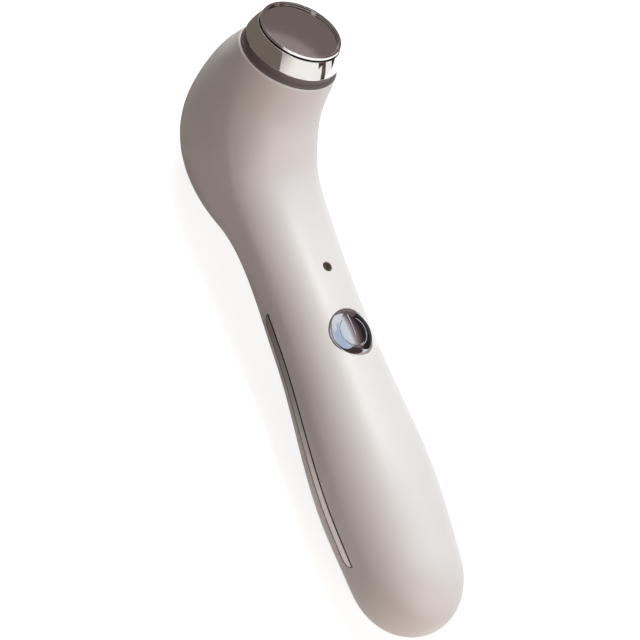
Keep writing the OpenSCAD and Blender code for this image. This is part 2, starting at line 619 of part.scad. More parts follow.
// the inner frame carries the battery below it, the main board above it and the motor at its end
post_inner = cell_d / 2 + cell_gap;
module inner_frame() color([0.78, 0.78, 0.76]) placed() difference() {
    union() {
        translate([frame_from, -frame_w / 2, frame_z]) cube([frame_neck - frame_from, frame_w, frame_t]);
        translate([frame_neck - over, -frame_w / 3, frame_z]) cube([frame_to - frame_neck + over, frame_w / 1.5, frame_t]);
        both_sides() {
            translate([cell_from, post_inner, -cell_drop - rail_below])
                cube([rail_to - cell_from, rail_t, frame_z + frame_t / 2 + cell_drop + rail_below]);
            for (u = screw_places) screw_line(u)
                translate([0, 0, post_inner]) cylinder(d = post_d, h = post_reach(u) - post_inner);
            translate([motor_from + 2, motor_d / 2 + sleeve_t + slip, motor_z - 1])
                cube([motor_l - 5, rail_t, frame_z + frame_t / 2 - motor_z + 1]);
            translate([charge_from + charge_l - 2.5, charge_w / 2 - 2.5, charge_z + charge_t])
                cylinder(r = 1.2, h = frame_z + frame_t / 2 - charge_z - charge_t, $fn = 24);
            for (u = board_screw_places) translate([u, board_screw_y, frame_z + frame_t / 2])
                cylinder(r = 1.9, h = board_z - frame_z - frame_t / 2, $fn = 32);
        }
        translate([cell_from + cell_l + cell_gap, -post_inner - rail_t / 2, -cell_drop - 1])
            cube([rail_t, 2 * post_inner + rail_t, frame_z + frame_t / 2 + cell_drop + 1]);
    }
    both_sides() {
        for (u = screw_places) screw_line(u) translate([0, 0, post_inner + over / 2]) cylinder(d = screw_d + slip, h = grip_w);
        for (u = board_screw_places) translate([u, board_screw_y, frame_z - over]) cylinder(d = 1.3, h = 6, $fn = 24);
    }
}
rail_t = 1.4;
rail_below = 1.7;
rail_to = max(cell_from + cell_l + cell_gap + rail_t, screw_high_at + post_d / 2) + 1;
function post_reach(u) = min([for (v = [-1, 1], q = [-1, 0, 1])
    width_at(u + v * post_d / 2, screw_z + q * post_d / 2, wall)]) - slip;
module battery_cell() color([0.25, 0.42, 0.62]) placed() translate([cell_from, 0, -cell_drop]) rotate([0, 90, 0])
    cylinder(d = cell_d, h = cell_l, $fn = 64);
module cell_caps() color([0.8, 0.8, 0.8]) placed() translate([cell_from, 0, -cell_drop]) rotate([0, 90, 0])
    translate([0, 0, -0.6]) cylinder(d = 6, h = 0.6, $fn = 32);
module main_board() color([0.08, 0.3, 0.18]) placed() difference() {
    translate([board_from, -board_w / 2, board_z]) cube([board_l, board_w, board_t]);
    both_sides() for (u = board_screw_places)
        translate([u, board_screw_y, board_z - over]) cylinder(d = 1.7, h = board_t + 2 * over, $fn = 24);
}
// each chip: place along and across the board as shares of it, then width, depth and height as shares of the chip sizes
chip_plan = [[0.19, -0.173, 1, 0.74, 1.2], [0.351, -0.233, 1, 1, 0.9], [0.514, 0.08, 0.486, 0.486, 1],
             [0.514, -0.347, 0.657, 0.657, 1.8], [0.216, 0.253, 0.457, 0.229, 0.8], [0.297, 0.253, 0.457, 0.229, 0.8],
             [0.865, -0.367, 0.457, 0.229, 0.8], [0.865, 0.253, 0.457, 0.229, 0.8]];
chips = [for (c = chip_plan) [board_from + c[0] * board_l, c[1] * board_w, c[2] * chip_w, c[3] * chip_w, c[4] * chip_t]];
module board_chips() color([0.1, 0.1, 0.1]) placed()
    for (c = chips) translate([c[0], c[1], board_top]) cube([c[2], c[3], c[4]]);
module board_screws() color([0.6, 0.6, 0.6]) placed() both_sides() for (u = board_screw_places)
    translate([u, board_screw_y, frame_z]) {
        cylinder(d = 1.2, h = board_top - frame_z, $fn = 24);
        translate([0, 0, board_top - frame_z]) cylinder(d = 2.6, h = 0.8, $fn = 32);
    }
module charge_board() color([0.08, 0.3, 0.18]) placed()
    translate([charge_from, -charge_w / 2, charge_z]) cube([charge_l, charge_w, charge_t]);
module charge_socket() color([0.75, 0.75, 0.76]) placed() translate([port_sink, 0, -port_drop])
    rotate([0, 90, 0]) rotate([0, 0, 90]) difference() {
        linear_extrude(port_l) slot_shape(port_w, port_h);
        translate([0, 0, -over]) linear_extrude(port_l + over - 1) slot_shape(port_w - 0.6, port_h - 0.6);
    }
module socket_tongue() color([0.1, 0.1, 0.1]) placed()
    translate([port_sink + 1, -3.3, -port_drop - 0.35]) cube([port_l - 2, 6.6, 0.7]);

module along_motor(u) { translate([u, 0, motor_z]) rotate([0, 90, 0]) children(); }
bearing_l = 2;
module motor_can() color([0.75, 0.75, 0.74]) placed() difference() {
    along_motor(motor_from) cylinder(d = motor_d, h = motor_l);
    along_motor(motor_to - bearing_l) cylinder(r = shaft_d / 2 + shaft_gap, h = bearing_l + over, $fn = 32);
}
module motor_sleeve() color([0.12, 0.12, 0.12]) placed() difference() {
    along_motor(motor_from + 1.5) cylinder(d = motor_d + 2 * sleeve_t, h = motor_l - 4);
    along_motor(motor_from) cylinder(d = motor_d + slip / 5, h = motor_l);
}
module motor_shaft() color([0.7, 0.7, 0.72]) placed()
    along_motor(motor_to - bearing_l + slip) cylinder(d = shaft_d, h = shaft_l + bearing_l - slip, $fn = 32);
module eccentric_weight() color([0.5, 0.5, 0.52]) placed()
    along_motor(motor_to + shaft_l - weight_l - 0.5) difference() {
        union() {
            intersection() {
                cylinder(r = weight_r, h = weight_l);
                translate([-2 * weight_r, -weight_r, -over]) cube([2 * weight_r, 2 * weight_r, weight_l + 2 * over]);
            }
            cylinder(d = shaft_d + 1.4, h = weight_l);
        }
        translate([0, 0, -over]) cylinder(d = shaft_d, h = weight_l + 2 * over, $fn = 32);
    }

// leads run from the module, the motor and the cell to the main board
lead_y = lead_d / 2 + 0.35;
function head_point(y, q, h) = on_head(y, q, h);
module plate_leads() color([0.75, 0.12, 0.1]) placed() both_sides() lead([
    head_point(lead_y, module_w / 2 + lead_d / 2 + 0.2, hot_z + ceramic_t),
    head_point(lead_y, module_w / 2 + 2.2, hot_z - 0.5),
    head_point(lead_y, module_w / 2 + 2.4, sink_z - 2),
    head_point(lead_y, module_w / 2 + 2.2, sink_z - 6),
    in_section(handle_l + bend_arc * 0.45, lead_y, hump_front - 6),
    in_section(handle_l + 2, lead_y, board_top + 1.6),
    [board_to + 3, lead_y, board_top + lead_d / 2 + 0.6],
    [board_to - 2, lead_y, board_top + lead_d / 2 + 0.1]], lead_d);
module motor_leads() color([0.1, 0.2, 0.6]) placed() both_sides() lead([
    [motor_from - lead_d / 2 - slip, lead_d * 1.2, motor_z],
    [motor_from - motor_lead_l / 4, lead_d * 1.6, motor_z - lead_d * 0.3],
    [motor_from - motor_lead_l / 1.5, lead_d * 4, motor_z + lead_d * 0.2],
    [motor_from - motor_lead_l, frame_w / 2 - lead_d * 1.6, frame_z - lead_d * 1.2]], lead_d);
module battery_leads() color([0.1, 0.1, 0.1]) placed() both_sides() lead([
    [cell_from - 0.6 - lead_d / 2, 0.8, -cell_drop + 0.8],
    [cell_from - 1.5, 1.2, -cell_drop + 3],
    [cell_from - 1.7, 1.6, frame_z - 2],
    [cell_from - 1.7, 2, frame_z - 0.1]], lead_d);

front_shell();
rear_shell();
left_strip();
right_strip();
shell_screws();
head_ring();
ring_gasket();
cold_plate();
plate_seal();
cold_ceramic();
pellets();
hot_ceramic();
heat_sink();
sink_retainer();
temperature_sensor();
power_button();
switch_plunger();
tact_switch();
led_lens();
status_led();
inner_frame();
battery_cell();
cell_caps();
main_board();
board_chips();
board_screws();
charge_board();
charge_socket();
socket_tongue();
motor_can();
motor_sleeve();
motor_shaft();
eccentric_weight();
plate_leads();
motor_leads();
battery_leads();
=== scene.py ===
# %% [markdown]
# # Cooling facial massager
# The wand lies on its back, button side up. Its satin body is two plastic shells that meet
# along slim metal strips. The neck bends up to a polished head with a cold mirror plate.
# The imported model gives every piece its place, so the dressing starts by loading it.

# %% Load the imported model
import json
import math
import bmesh
import bpy
import numpy as np
from mathutils import Matrix, Vector


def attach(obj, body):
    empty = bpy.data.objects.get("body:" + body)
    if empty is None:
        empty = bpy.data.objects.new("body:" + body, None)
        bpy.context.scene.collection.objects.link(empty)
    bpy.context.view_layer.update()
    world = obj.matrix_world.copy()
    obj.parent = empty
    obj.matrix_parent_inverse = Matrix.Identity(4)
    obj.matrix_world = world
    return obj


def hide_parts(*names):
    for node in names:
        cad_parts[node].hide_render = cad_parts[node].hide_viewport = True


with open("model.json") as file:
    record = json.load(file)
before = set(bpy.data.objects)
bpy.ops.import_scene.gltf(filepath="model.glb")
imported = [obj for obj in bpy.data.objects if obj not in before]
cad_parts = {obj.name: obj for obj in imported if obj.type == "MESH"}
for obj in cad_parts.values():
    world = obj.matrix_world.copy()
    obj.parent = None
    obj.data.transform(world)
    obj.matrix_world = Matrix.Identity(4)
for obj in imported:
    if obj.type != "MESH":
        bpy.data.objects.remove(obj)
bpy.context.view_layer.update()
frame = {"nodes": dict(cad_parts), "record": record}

# %% [markdown]
# ## The centre line and its sections
# The body is one flowing form, so it is described by a centre line and by seven named
# sections: half width, depth in front and depth behind. The line runs straight through the
# handle, turns in the neck and runs straight into the head. The sizes are the same named
# values that the solids were drawn with, in millimetres.

# %% Named sections along the body
handle_l, tail_round = 115.5, 16.5
bend_r, head_angle, head_l = 27.0, math.radians(67), 8.6
bend_arc = bend_r * head_angle
spine_l = handle_l + bend_arc + head_l
section_at = np.array([tail_round, 34, 77, handle_l - 3, handle_l + bend_arc / 2, spine_l - 12.5, spine_l])
half_widths = np.array([27.8, 30, 24.8, 26, 27.2, 26.9, 26]) / 2
front_depths = np.array([13.2, 14.3, 11.8, 11.2, 13.8, 13.5, 13])
back_depths = np.array([13.2, 14.3, 11.8, 13.8, 27.6, 20, 13])
front_fullness, back_fullness = 2.05, 2.4


def eased(t):
    """0 to 1 with a soft start and end."""
    t = np.clip(t, 0, 1)
    return t * t * (3 - 2 * t)


def through(values, u):
    """A smooth curve through one size of the named sections."""
    gap = np.diff(section_at)
    slope = np.diff(values) / gap
    between = (slope[:-1] * gap[1:] + slope[1:] * gap[:-1]) / (gap[:-1] + gap[1:])
    lean = np.concatenate([slope[:1], between, slope[-1:]])
    u = np.maximum(u, section_at[0])
    i = np.clip(np.searchsorted(section_at, u, side="right") - 1, 0, len(gap) - 1)
    h, t = gap[i], (u - section_at[i]) / gap[i]
    return ((2 * t**3 - 3 * t**2 + 1) * values[i] + (t**3 - 2 * t**2 + t) * h * lean[i]
            + (3 * t**2 - 2 * t**3) * values[i + 1] + (t**3 - t**2) * h * lean[i + 1])


print("body length along its centre line:", round(spine_l, 1), "mm")

# %% [markdown]
# A curve through sections has no corners, but its bending still changes in steps, and a satin
# surface shows such steps as faint lines. So every size is first written into a fine table
# along the skin, and the table is softened over about two millimetres. The rounded tail is
# part of the same table, mirrored through its tip, so it flows into the handle as well.

# %% Fine tables of the sizes, softened
tail_half, table_gap = 13.6, 0.05
quarter = np.linspace(0, np.pi / 2, 4001)
tail_x, tail_y = tail_round * (1 - np.cos(quarter)), tail_half * np.sin(quarter)
tail_way = np.concatenate([[0], np.cumsum(np.hypot(np.diff(tail_x), np.diff(tail_y)))])
way_l = tail_way[-1] + spine_l - tail_round
way = np.linspace(0, way_l, int(way_l / table_gap) + 1)
table_step = way[1]


def soften(values, mirror=1, reach=2.2):
    """Blurs a table; it is mirrored through the tail's tip and keeps its value at the lip."""
    n = int(4 * reach / table_step)
    weight = np.exp(-0.5 * (np.arange(-n, n + 1) * table_step / reach) ** 2)
    padded = np.concatenate([mirror * values[n:0:-1], values, 2 * values[-1] - values[-2:-n - 2:-1]])
    return np.convolve(padded, weight / weight.sum(), "valid")


place_raw = np.where(way < tail_way[-1], np.interp(way, tail_way, tail_x), tail_round + way - tail_way[-1])
place = soften(place_raw)
share = soften(np.interp(way, tail_way, np.sin(quarter)), mirror=-1)
turn = soften(np.clip((place_raw - handle_l) / bend_r, 0, head_angle))
width, front, back = (soften(through(v, place_raw)) * share for v in (half_widths, front_depths, back_depths))
roundness = eased((spine_l - place) / (spine_l - handle_l))
front_power, back_power = (2 + (full - 2) * roundness for full in (front_fullness, back_fullness))

lip_middle = np.array([handle_l + bend_r * math.sin(head_angle) + head_l * math.cos(head_angle),
                       bend_r * (1 - math.cos(head_angle)) + head_l * math.sin(head_angle)])
moved = np.diff(place)
line_x = place[0] + np.concatenate([[0], np.cumsum(np.cos((turn[1:] + turn[:-1]) / 2) * moved)])
line_z = np.concatenate([[0], np.cumsum(np.sin((turn[1:] + turn[:-1]) / 2) * moved)])
off = lip_middle - [line_x[-1], line_z[-1]]
spread_over = 15
moved_share = eased((place - handle_l + spread_over) / (spine_l - handle_l + spread_over))
line_x += off[0] * moved_share
line_z += off[1] * moved_share
print("the softened centre line was", np.round(off, 3), "mm off at the lip, now 0")

# %% [markdown]
# Three functions turn the tables into a surface. `section` gives a point of one slice, which
# is a little squarer than an ellipse, and squarer behind than in front. `skin` places the
# slice on the centre line. `laid` puts the wand on the floor, exactly where the solids lie.

# %% The body's surface as functions
tilt, lift, middle = math.radians(4.18735), 12.0146, 77.7853


def at(table, s):
    """A table's value at a distance s along the skin."""
    return np.interp(s, way, table)


def way_at(u):
    """Distance along the skin of a place u along the centre line."""
    return np.interp(u, place, way)


def section(s, a):
    """Half width y and depth q of a slice at angle a: 0 is the left flank, a quarter turn the front."""
    behind = eased(0.5 - np.sin(a) / 0.7)
    depth = at(front, s) + (at(back, s) - at(front, s)) * behind
    power = 2 / (at(front_power, s) + (at(back_power, s) - at(front_power, s)) * behind)
    return (at(width, s) * np.sign(np.cos(a)) * np.abs(np.cos(a)) ** power,
            depth * np.sign(np.sin(a)) * np.abs(np.sin(a)) ** power)


def on_line(s, y, q):
    """A point y to the left and q in front of the centre line."""
    t = at(turn, s)
    return np.stack(np.broadcast_arrays(at(line_x, s) - q * np.sin(t), y, at(line_z, s) + q * np.cos(t)), -1)


def skin(s, a):
    return on_line(s, *section(s, a))


def angle_behind(s, q):
    """Angle at which a slice passes a depth q behind its widest line, on the left flank."""
    low, high = np.full(np.shape(s), -np.pi / 2), np.zeros(np.shape(s))
    for _ in range(36):
        a = (low + high) / 2
        deeper = section(s, a)[1] < -q
        low, high = np.where(deeper, a, low), np.where(deeper, high, a)
    return (low + high) / 2


def outward(surface, a, b, da, db):
    """Unit directions straight out of a surface that is a function of two numbers."""
    n = np.cross(surface(a, b + db) - surface(a, b - db), surface(a + da, b) - surface(a - da, b))
    return n / np.linalg.norm(n, axis=-1, keepdims=True)


def turned(d):
    """Directions of the upright wand, turned as it lies."""
    x, y, z = d[..., 0], d[..., 1], d[..., 2]
    return np.stack([z * math.sin(tilt) - x * math.cos(tilt), -y, x * math.sin(tilt) + z * math.cos(tilt)], -1)


def laid(p):
    """Points of the wand in millimetres, as it lies on the floor, in metres."""
    return 0.001 * (turned(p) + [middle, 0, lift])


print("front of the shell at the button:", np.round(laid(skin(way_at(75.0), np.pi / 2)), 4))

# %% [markdown]
# ## A skin made of patches
# Booleans cut holes fast, but they leave long thin faces that spoil a smooth satin finish.
# So the shells are sewn from patches: grids of points with the exact outward direction of the
# surface at each one. Points that meet are welded, and the exact directions become the mesh's
# own normals, so no seam between two patches can be seen.

# %% Patches that become one mesh
class Patches:
    def __init__(self):
        self.points, self.out, self.faces, self.count = [], [], [], 0

    def add(self, points, out, keep=None, closed=False):
        """One grid; keep says which of its faces stay, closed joins its last column to the first."""
        points, out = np.broadcast_arrays(points, out)
        if closed:
            points, out = (np.concatenate([v, v[:, :1]], 1) for v in (points, out))
        rows, columns = points.shape[:2]
        index = self.count + np.arange(rows * columns).reshape(rows, columns)
        quads = np.stack([index[:-1, :-1], index[1:, :-1], index[1:, 1:], index[:-1, 1:]], -1)
        self.faces.append(quads.reshape(-1, 4) if keep is None else quads[keep])
        self.points.append(points.reshape(-1, 3))
        self.out.append(out.reshape(-1, 3))
        self.count += rows * columns

    def mesh(self, name):
        points, out = laid(np.concatenate(self.points)), turned(np.concatenate(self.out))
        faces = np.concatenate(self.faces)
        corner = points[faces]
        facing = np.cross(corner[:, 2] - corner[:, 0], corner[:, 3] - corner[:, 1])
        wrong = (facing * out[faces].sum(1)).sum(1) < 0
        faces[wrong] = faces[wrong][:, ::-1]
        mesh = bpy.data.meshes.new(name)
        mesh.from_pydata(points.tolist(), [], faces.tolist())
        kept = mesh.attributes.new("out", "FLOAT_VECTOR", "CORNER")
        kept.data.foreach_set("vector", out[faces].astype(np.float32).ravel())
        work = bmesh.new()
        work.from_mesh(mesh)
        bmesh.ops.remove_doubles(work, verts=work.verts, dist=5e-7)
        work.to_mesh(mesh)
        work.free()
        values = np.empty(len(mesh.loops) * 3, np.float32)
        mesh.attributes["out"].data.foreach_get("vector", values)
        mesh.attributes.remove(mesh.attributes["out"])
        mesh.shade_smooth()
        mesh.normals_split_custom_set(values.reshape(-1, 3).tolist())
        return mesh


def piece(name, mesh, finish, body="housing", stands_for=()):
    """Puts a finished mesh into the scene as a named piece that rides on a body."""
    made = bpy.data.objects.new(name, mesh)
    bpy.context.scene.collection.objects.link(made)
    mesh.materials.append(finish)
    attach(made, body)
    if stands_for:
        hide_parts(*stands_for)
    print(name, len(mesh.polygons), "faces")
    return made


# %% [markdown]
# ## Finishes
# Every finish is built from nodes. Three effects come back in many of them, so each is one
# group: the fine grain and uneven tone of a moulded or painted part, the straight lines of a
# drawn or brushed metal, and the faint film that handling leaves on a polished one.

# %% Helpers for node trees
def node(tree, kind, **settings):
    made = tree.nodes.new("ShaderNode" + kind)
    for key, value in settings.items():
        setattr(made, key, value)
    return made


def feed(tree, socket, value):
    """Links a socket to another one, or sets its plain value."""
    if isinstance(value, bpy.types.NodeSocket):
        tree.links.new(value, socket)
    else:
        socket.default_value = value


def sums(tree, how, a, b=0.0, c=0.0):
    made = node(tree, "Math", operation=how)
    for socket, value in zip(made.inputs, (a, b, c)):
        feed(tree, socket, value)
    return made.outputs[0]


def noise(tree, where, scale, detail=2.0, rough=0.5):
    made = node(tree, "TexNoise")
    feed(tree, made.inputs["Vector"], where)
    for title, value in (("Scale", scale), ("Detail", detail), ("Roughness", rough)):
        feed(tree, made.inputs[title], value)
    return made.outputs["Fac"]


def toned(tree, colour, value):
    made = node(tree, "HueSaturation")
    feed(tree, made.inputs["Color"], colour)
    feed(tree, made.inputs["Value"], value)
    return made.outputs["Color"]


def group(name, inputs, outputs):
    tree = bpy.data.node_groups.new(name, "ShaderNodeTree")
    for title, kind, value in inputs:
        socket = tree.interface.new_socket(title, in_out="INPUT", socket_type="NodeSocket" + kind)
        if value is not None:
            socket.default_value = value
    for title, kind in outputs:
        tree.interface.new_socket(title, in_out="OUTPUT", socket_type="NodeSocket" + kind)
    return tree, tree.nodes.new("NodeGroupInput").outputs, tree.nodes.new("NodeGroupOutput").inputs


# %% The grain of moulded and painted parts
grain, given, result = group(
    "moulded grain",
    [("Place", "Vector", None), ("Colour", "Color", (0.5, 0.5, 0.5, 1)), ("Roughness", "Float", 0.4),
     ("Grain", "Float", 3000.0), ("Unevenness", "Float", 0.05)],
    [("Colour", "Color"), ("Roughness", "Float"), ("Height", "Float")])
fine = noise(grain, given["Place"], given["Grain"], 3)
broad = noise(grain, given["Place"], 70.0, 3)
tone = sums(grain, "MULTIPLY_ADD", sums(grain, "SUBTRACT", broad, 0.5), given["Unevenness"], 1.0)
feed(grain, result["Colour"], toned(grain, given["Colour"], tone))
fine_off = sums(grain, "SUBTRACT", fine, 0.5)
feed(grain, result["Roughness"], sums(grain, "MULTIPLY_ADD", fine_off, 0.12, given["Roughness"]))
feed(grain, result["Height"], fine)

# %% The lines of drawn and brushed metal
lines, given, result = group(
    "drawn lines",
    [("Place", "Vector", None), ("Stretch", "Vector", (40, 3000, 3000)), ("Colour", "Color", (0.6, 0.6, 0.6, 1)),
     ("Roughness", "Float", 0.3), ("Spread", "Float", 0.15)],
    [("Colour", "Color"), ("Roughness", "Float"), ("Height", "Float")])
scaled = node(lines, "VectorMath", operation="MULTIPLY")
feed(lines, scaled.inputs[0], given["Place"])
feed(lines, scaled.inputs[1], given["Stretch"])
streak = noise(lines, scaled.outputs[0], 1.0, 4, 0.6)
off_middle = sums(lines, "SUBTRACT", streak, 0.5)
feed(lines, result["Colour"], toned(lines, given["Colour"], sums(lines, "MULTIPLY_ADD", off_middle, 0.25, 1.0)))
feed(lines, result["Roughness"], sums(lines, "MULTIPLY_ADD", off_middle, given["Spread"], given["Roughness"]))
feed(lines, result["Height"], streak)

# %% The film on polished metal
film, given, result = group(
    "handling film",
    [("Place", "Vector", None), ("Colour", "Color", (0.8, 0.8, 0.8, 1)), ("Roughness", "Float", 0.04),
     ("Film", "Float", 0.06)],
    [("Colour", "Color"), ("Roughness", "Float"), ("Height", "Float")])
cloud = noise(film, given["Place"], 160.0, 4, 0.6)
smear = sums(film, "POWER", cloud, 3.0)
feed(film, result["Colour"], toned(film, given["Colour"], sums(film, "MULTIPLY_ADD", smear, -0.12, 1.02)))
feed(film, result["Roughness"], sums(film, "MULTIPLY_ADD", smear, given["Film"], given["Roughness"]))
feed(film, result["Height"], noise(film, given["Place"], 300.0, 2))
print("effect groups:", [effect.name for effect in bpy.data.node_groups])

# %% [markdown]
# A finish places one of these groups, gives it its own values and feeds the shader with what
# comes out. What is the same everywhere, such as a coat, is set on the shader itself. Places
# are read from the object, in metres, so a scale of 3000 is a grain of a third of a millimetre.

# %% One finish from one effect
def finish(name, effect, depth=0.0, plain=None, **values):
    """A material whose colour, roughness and relief come from one effect group."""
    made = bpy.data.materials.new(name)
    made.use_nodes = True
    tree = made.node_tree
    shader = tree.nodes["Principled BSDF"]
    shown = node(tree, "Group", node_tree=effect)
    feed(tree, shown.inputs["Place"], node(tree, "TexCoord").outputs["Object"])
    for title, value in values.items():
        feed(tree, shown.inputs[title], (*value, 1) if title == "Colour" else value)
    feed(tree, shader.inputs["Base Color"], shown.outputs["Colour"])
    feed(tree, shader.inputs["Roughness"], shown.outputs["Roughness"])
    if depth:
        bump = node(tree, "Bump")
        bump.inputs["Distance"].default_value = depth
        feed(tree, bump.inputs["Height"], shown.outputs["Height"])
        feed(tree, shader.inputs["Normal"], bump.outputs["Normal"])
    for title, value in (plain or {}).items():
        shader.inputs[title].default_value = value
    return made


metal = {"Metallic": 1.0}
body_satin = finish("body satin", grain, depth=2e-6, Colour=(0.74, 0.68, 0.65), Roughness=0.42,
                    Grain=3500.0, Unevenness=0.03,
                    plain={"Specular IOR Level": 0.45, "Coat Weight": 0.08, "Coat Roughness": 0.25})
strip_satin = finish("strip satin", lines, depth=1.5e-6, Colour=(0.56, 0.495, 0.475), Roughness=0.3,
                     Spread=0.12, Stretch=(30, 2600, 2600), plain=metal)
ring_polish = finish("ring polish", film, depth=4e-7, Colour=(0.86, 0.83, 0.8), Roughness=0.05,
                     Film=0.05, plain=metal)
plate_polish = finish("plate polish", film, depth=2e-7, Colour=(0.8, 0.77, 0.75), Roughness=0.03,
                      Film=0.04, plain=metal)
button_plate = finish("button plating", film, depth=6e-7, Colour=(0.62, 0.64, 0.69), Roughness=0.06,
                      Film=0.08, plain=metal)
gasket_rubber = finish("gasket rubber", grain, depth=6e-6, Colour=(0.15, 0.12, 0.11), Roughness=0.55,
                       Grain=2500.0, Unevenness=0.12)
# Black rubber of the plate's seal; the same black also fills the strip grooves as painted shade in the gaps.
seal_rubber = finish("black seal and gap shade", grain, depth=6e-6, Colour=(0.02, 0.012, 0.012), Roughness=0.6,
                     Grain=2500.0, Unevenness=0.15, plain={"Specular IOR Level": 0.2})
lens_smoke = finish("smoked lens", grain, Colour=(0.05, 0.022, 0.015), Roughness=0.12, Grain=900.0,
                    Unevenness=0.3, plain={"Coat Weight": 0.6, "Coat Roughness": 0.05})
print("outer finishes made:", len(bpy.data.materials))

# %% [markdown]
# The pieces inside are never seen in use, but they are real parts, and each keeps a finish of
# its own: drawn steel, fired ceramic, machined aluminium and brass, solder mask, cell film and
# the coloured insulation of the leads.

# %% Finishes of the inner pieces
inner = {
    "steel": finish("drawn steel", lines, depth=2e-6, Colour=(0.6, 0.6, 0.6), Roughness=0.3, plain=metal),
    "ceramic": finish("fired ceramic", grain, depth=4e-6, Colour=(0.86, 0.86, 0.83), Roughness=0.3,
                      Grain=1800.0),
    "pellet_metal": finish("sintered pellets", grain, depth=8e-6, Colour=(0.3, 0.31, 0.34), Roughness=0.45,
                           Grain=5000.0, Unevenness=0.3, plain=metal),
    "sink_aluminium": finish("machined aluminium", lines, depth=2e-6, Colour=(0.6, 0.61, 0.63),
                             Roughness=0.35, plain=metal),
    "retainer_brass": finish("machined brass", lines, depth=2e-6, Colour=(0.72, 0.52, 0.24),
                             Roughness=0.28, plain=metal),
    "sensor_resin": finish("sensor resin", grain, depth=4e-6, Colour=(0.03, 0.03, 0.03), Roughness=0.25,
                           Grain=1500.0),
    "black_plastic": finish("black plastic", grain, depth=5e-6, Colour=(0.03, 0.03, 0.032), Roughness=0.45,
                            Grain=3000.0, Unevenness=0.2),
    "led_resin": finish("pale resin", grain, depth=2e-6, Colour=(0.9, 0.86, 0.66), Roughness=0.2,
                        Grain=1500.0),
    "frame_plastic": finish("frame plastic", grain, depth=6e-6, Colour=(0.6, 0.6, 0.58), Roughness=0.5,
                            Grain=2500.0),
    "cell_wrap": finish("cell film", grain, depth=3e-6, Colour=(0.05, 0.16, 0.38), Roughness=0.22,
                        Grain=700.0, Unevenness=0.15, plain={"Coat Weight": 0.4, "Coat Roughness": 0.1}),
    "circuit_board": finish("solder mask", grain, depth=4e-6, Colour=(0.02, 0.13, 0.06), Roughness=0.28,
                            Grain=1200.0, Unevenness=0.25,
                            plain={"Coat Weight": 0.5, "Coat Roughness": 0.12}),
    "weight_metal": finish("sintered weight", grain, depth=8e-6, Colour=(0.35, 0.35, 0.37), Roughness=0.5,
                           Grain=4000.0, Unevenness=0.2, plain=metal),
    "seal_rubber": seal_rubber,
}
for slot, title, colour in (("lead_red", "red insulation", (0.5, 0.03, 0.03)),
                            ("lead_blue", "blue insulation", (0.03, 0.08, 0.4)),
                            ("lead_black", "black insulation", (0.02, 0.02, 0.02))):
    inner[slot] = finish(title, grain, depth=3e-6, Colour=colour, Roughness=0.4, Grain=2000.0)
slot_of = {part["node"]: part["material_slot"] for part in frame["record"]["subparts"]}
for name, made in frame["nodes"].items():
    if slot_of[name] in inner:
        made.data.materials.clear()
        made.data.materials.append(inner[slot_of[name]])
print("inner finishes:", len(inner))

# %% [markdown]
# ## The two shells
# The shells meet on a plane a little behind the widest line. Behind that seam the rear shell
# has a long shallow groove on each flank, which takes a metal strip. The groove has a straight
# front edge along the seam, and rounds off behind it near the tail and below the neck.

# %% Rows along the body and the groove's outline
seam_back, strip_gap, back_gap, strip_w, strip_t = 1.7, 0.58, 0.32, 2.15, 0.3
strip_from, strip_to, strip_round, strip_point = 20.7, 87.1, 3.0, 3.5
groove_deep, seam_deep, edge = 0.6, 0.95, 0.05


def strip_share(u, start, end):
    """Share of the full width: a quarter round at the lower end, a softer one at the upper."""
    low = np.clip((u - start) / strip_round, 0, 1)
    high = np.clip((end - u) / strip_point, 0, 1)
    return np.sqrt(1 - (1 - low) ** 2) * np.sqrt(1 - (1 - high) ** 2.4)


def groove_edge(u):
    return seam_back + np.maximum(0.12, (strip_w + strip_gap + back_gap) * strip_share(u, strip_from, strip_to))


cap_s = np.interp(0.78, share, way)
lip_round = 0.75
near = np.array([-0.03, 0, 0.04, 0.1, 0.18, 0.3, 0.45, 0.65, 0.9, 1.2, 1.6, 2.1, 2.6])
rows_u = np.concatenate([strip_from + near, strip_to - near])
rows_s = np.concatenate([np.arange(cap_s, way_l - lip_round, 0.5), way_at(rows_u), [way_l - lip_round]])
rows_s = np.unique(np.round(rows_s, 4))
rows_s = rows_s[np.concatenate([[True], np.diff(rows_s) > 0.025])]
rows_u = at(place, rows_s)
in_groove = (rows_u > strip_from - 0.01) & (rows_u < strip_to + 0.01)
seam_a = angle_behind(rows_s, seam_back)
print(len(rows_s), "rows; groove rows:", int(in_groove.sum()))

# %% [markdown]
# The lip round the head is softly rounded, which gives the photograph's bright line below the
# dark gasket. Each column of the shell runs over that rounding on one small curve.

# %% The rounded lip
lip_outer, lip_inner, lip_bore = 13.0, 12.3, 11.4
head_up = np.array([math.cos(head_angle), 0, math.sin(head_angle)])
head_front = np.array([-math.sin(head_angle), 0, math.cos(head_angle)])


def on_head(x, y, h):
    """A point in the head's own frame: x to the front, h out of the cold plate."""
    s, c = math.sin(head_angle), math.cos(head_angle)
    return np.stack(np.broadcast_arrays(lip_middle[0] - x * s + h * c, y, lip_middle[1] + x * c + h * s), -1)


def lip_skin(t, a):
    """From the skin just below the lip, over the rounding and onto the lip's flat face."""
    start = skin(way_l - lip_round, a)
    corner = on_head(lip_outer * np.sin(a), lip_outer * np.cos(a), 0.0)
    inside = on_head(lip_inner * np.sin(a), lip_inner * np.cos(a), 0.0)
    t = np.asarray(t)[..., None]
    return (1 - t) ** 2 * start + 2 * t * (1 - t) * corner + t ** 2 * inside


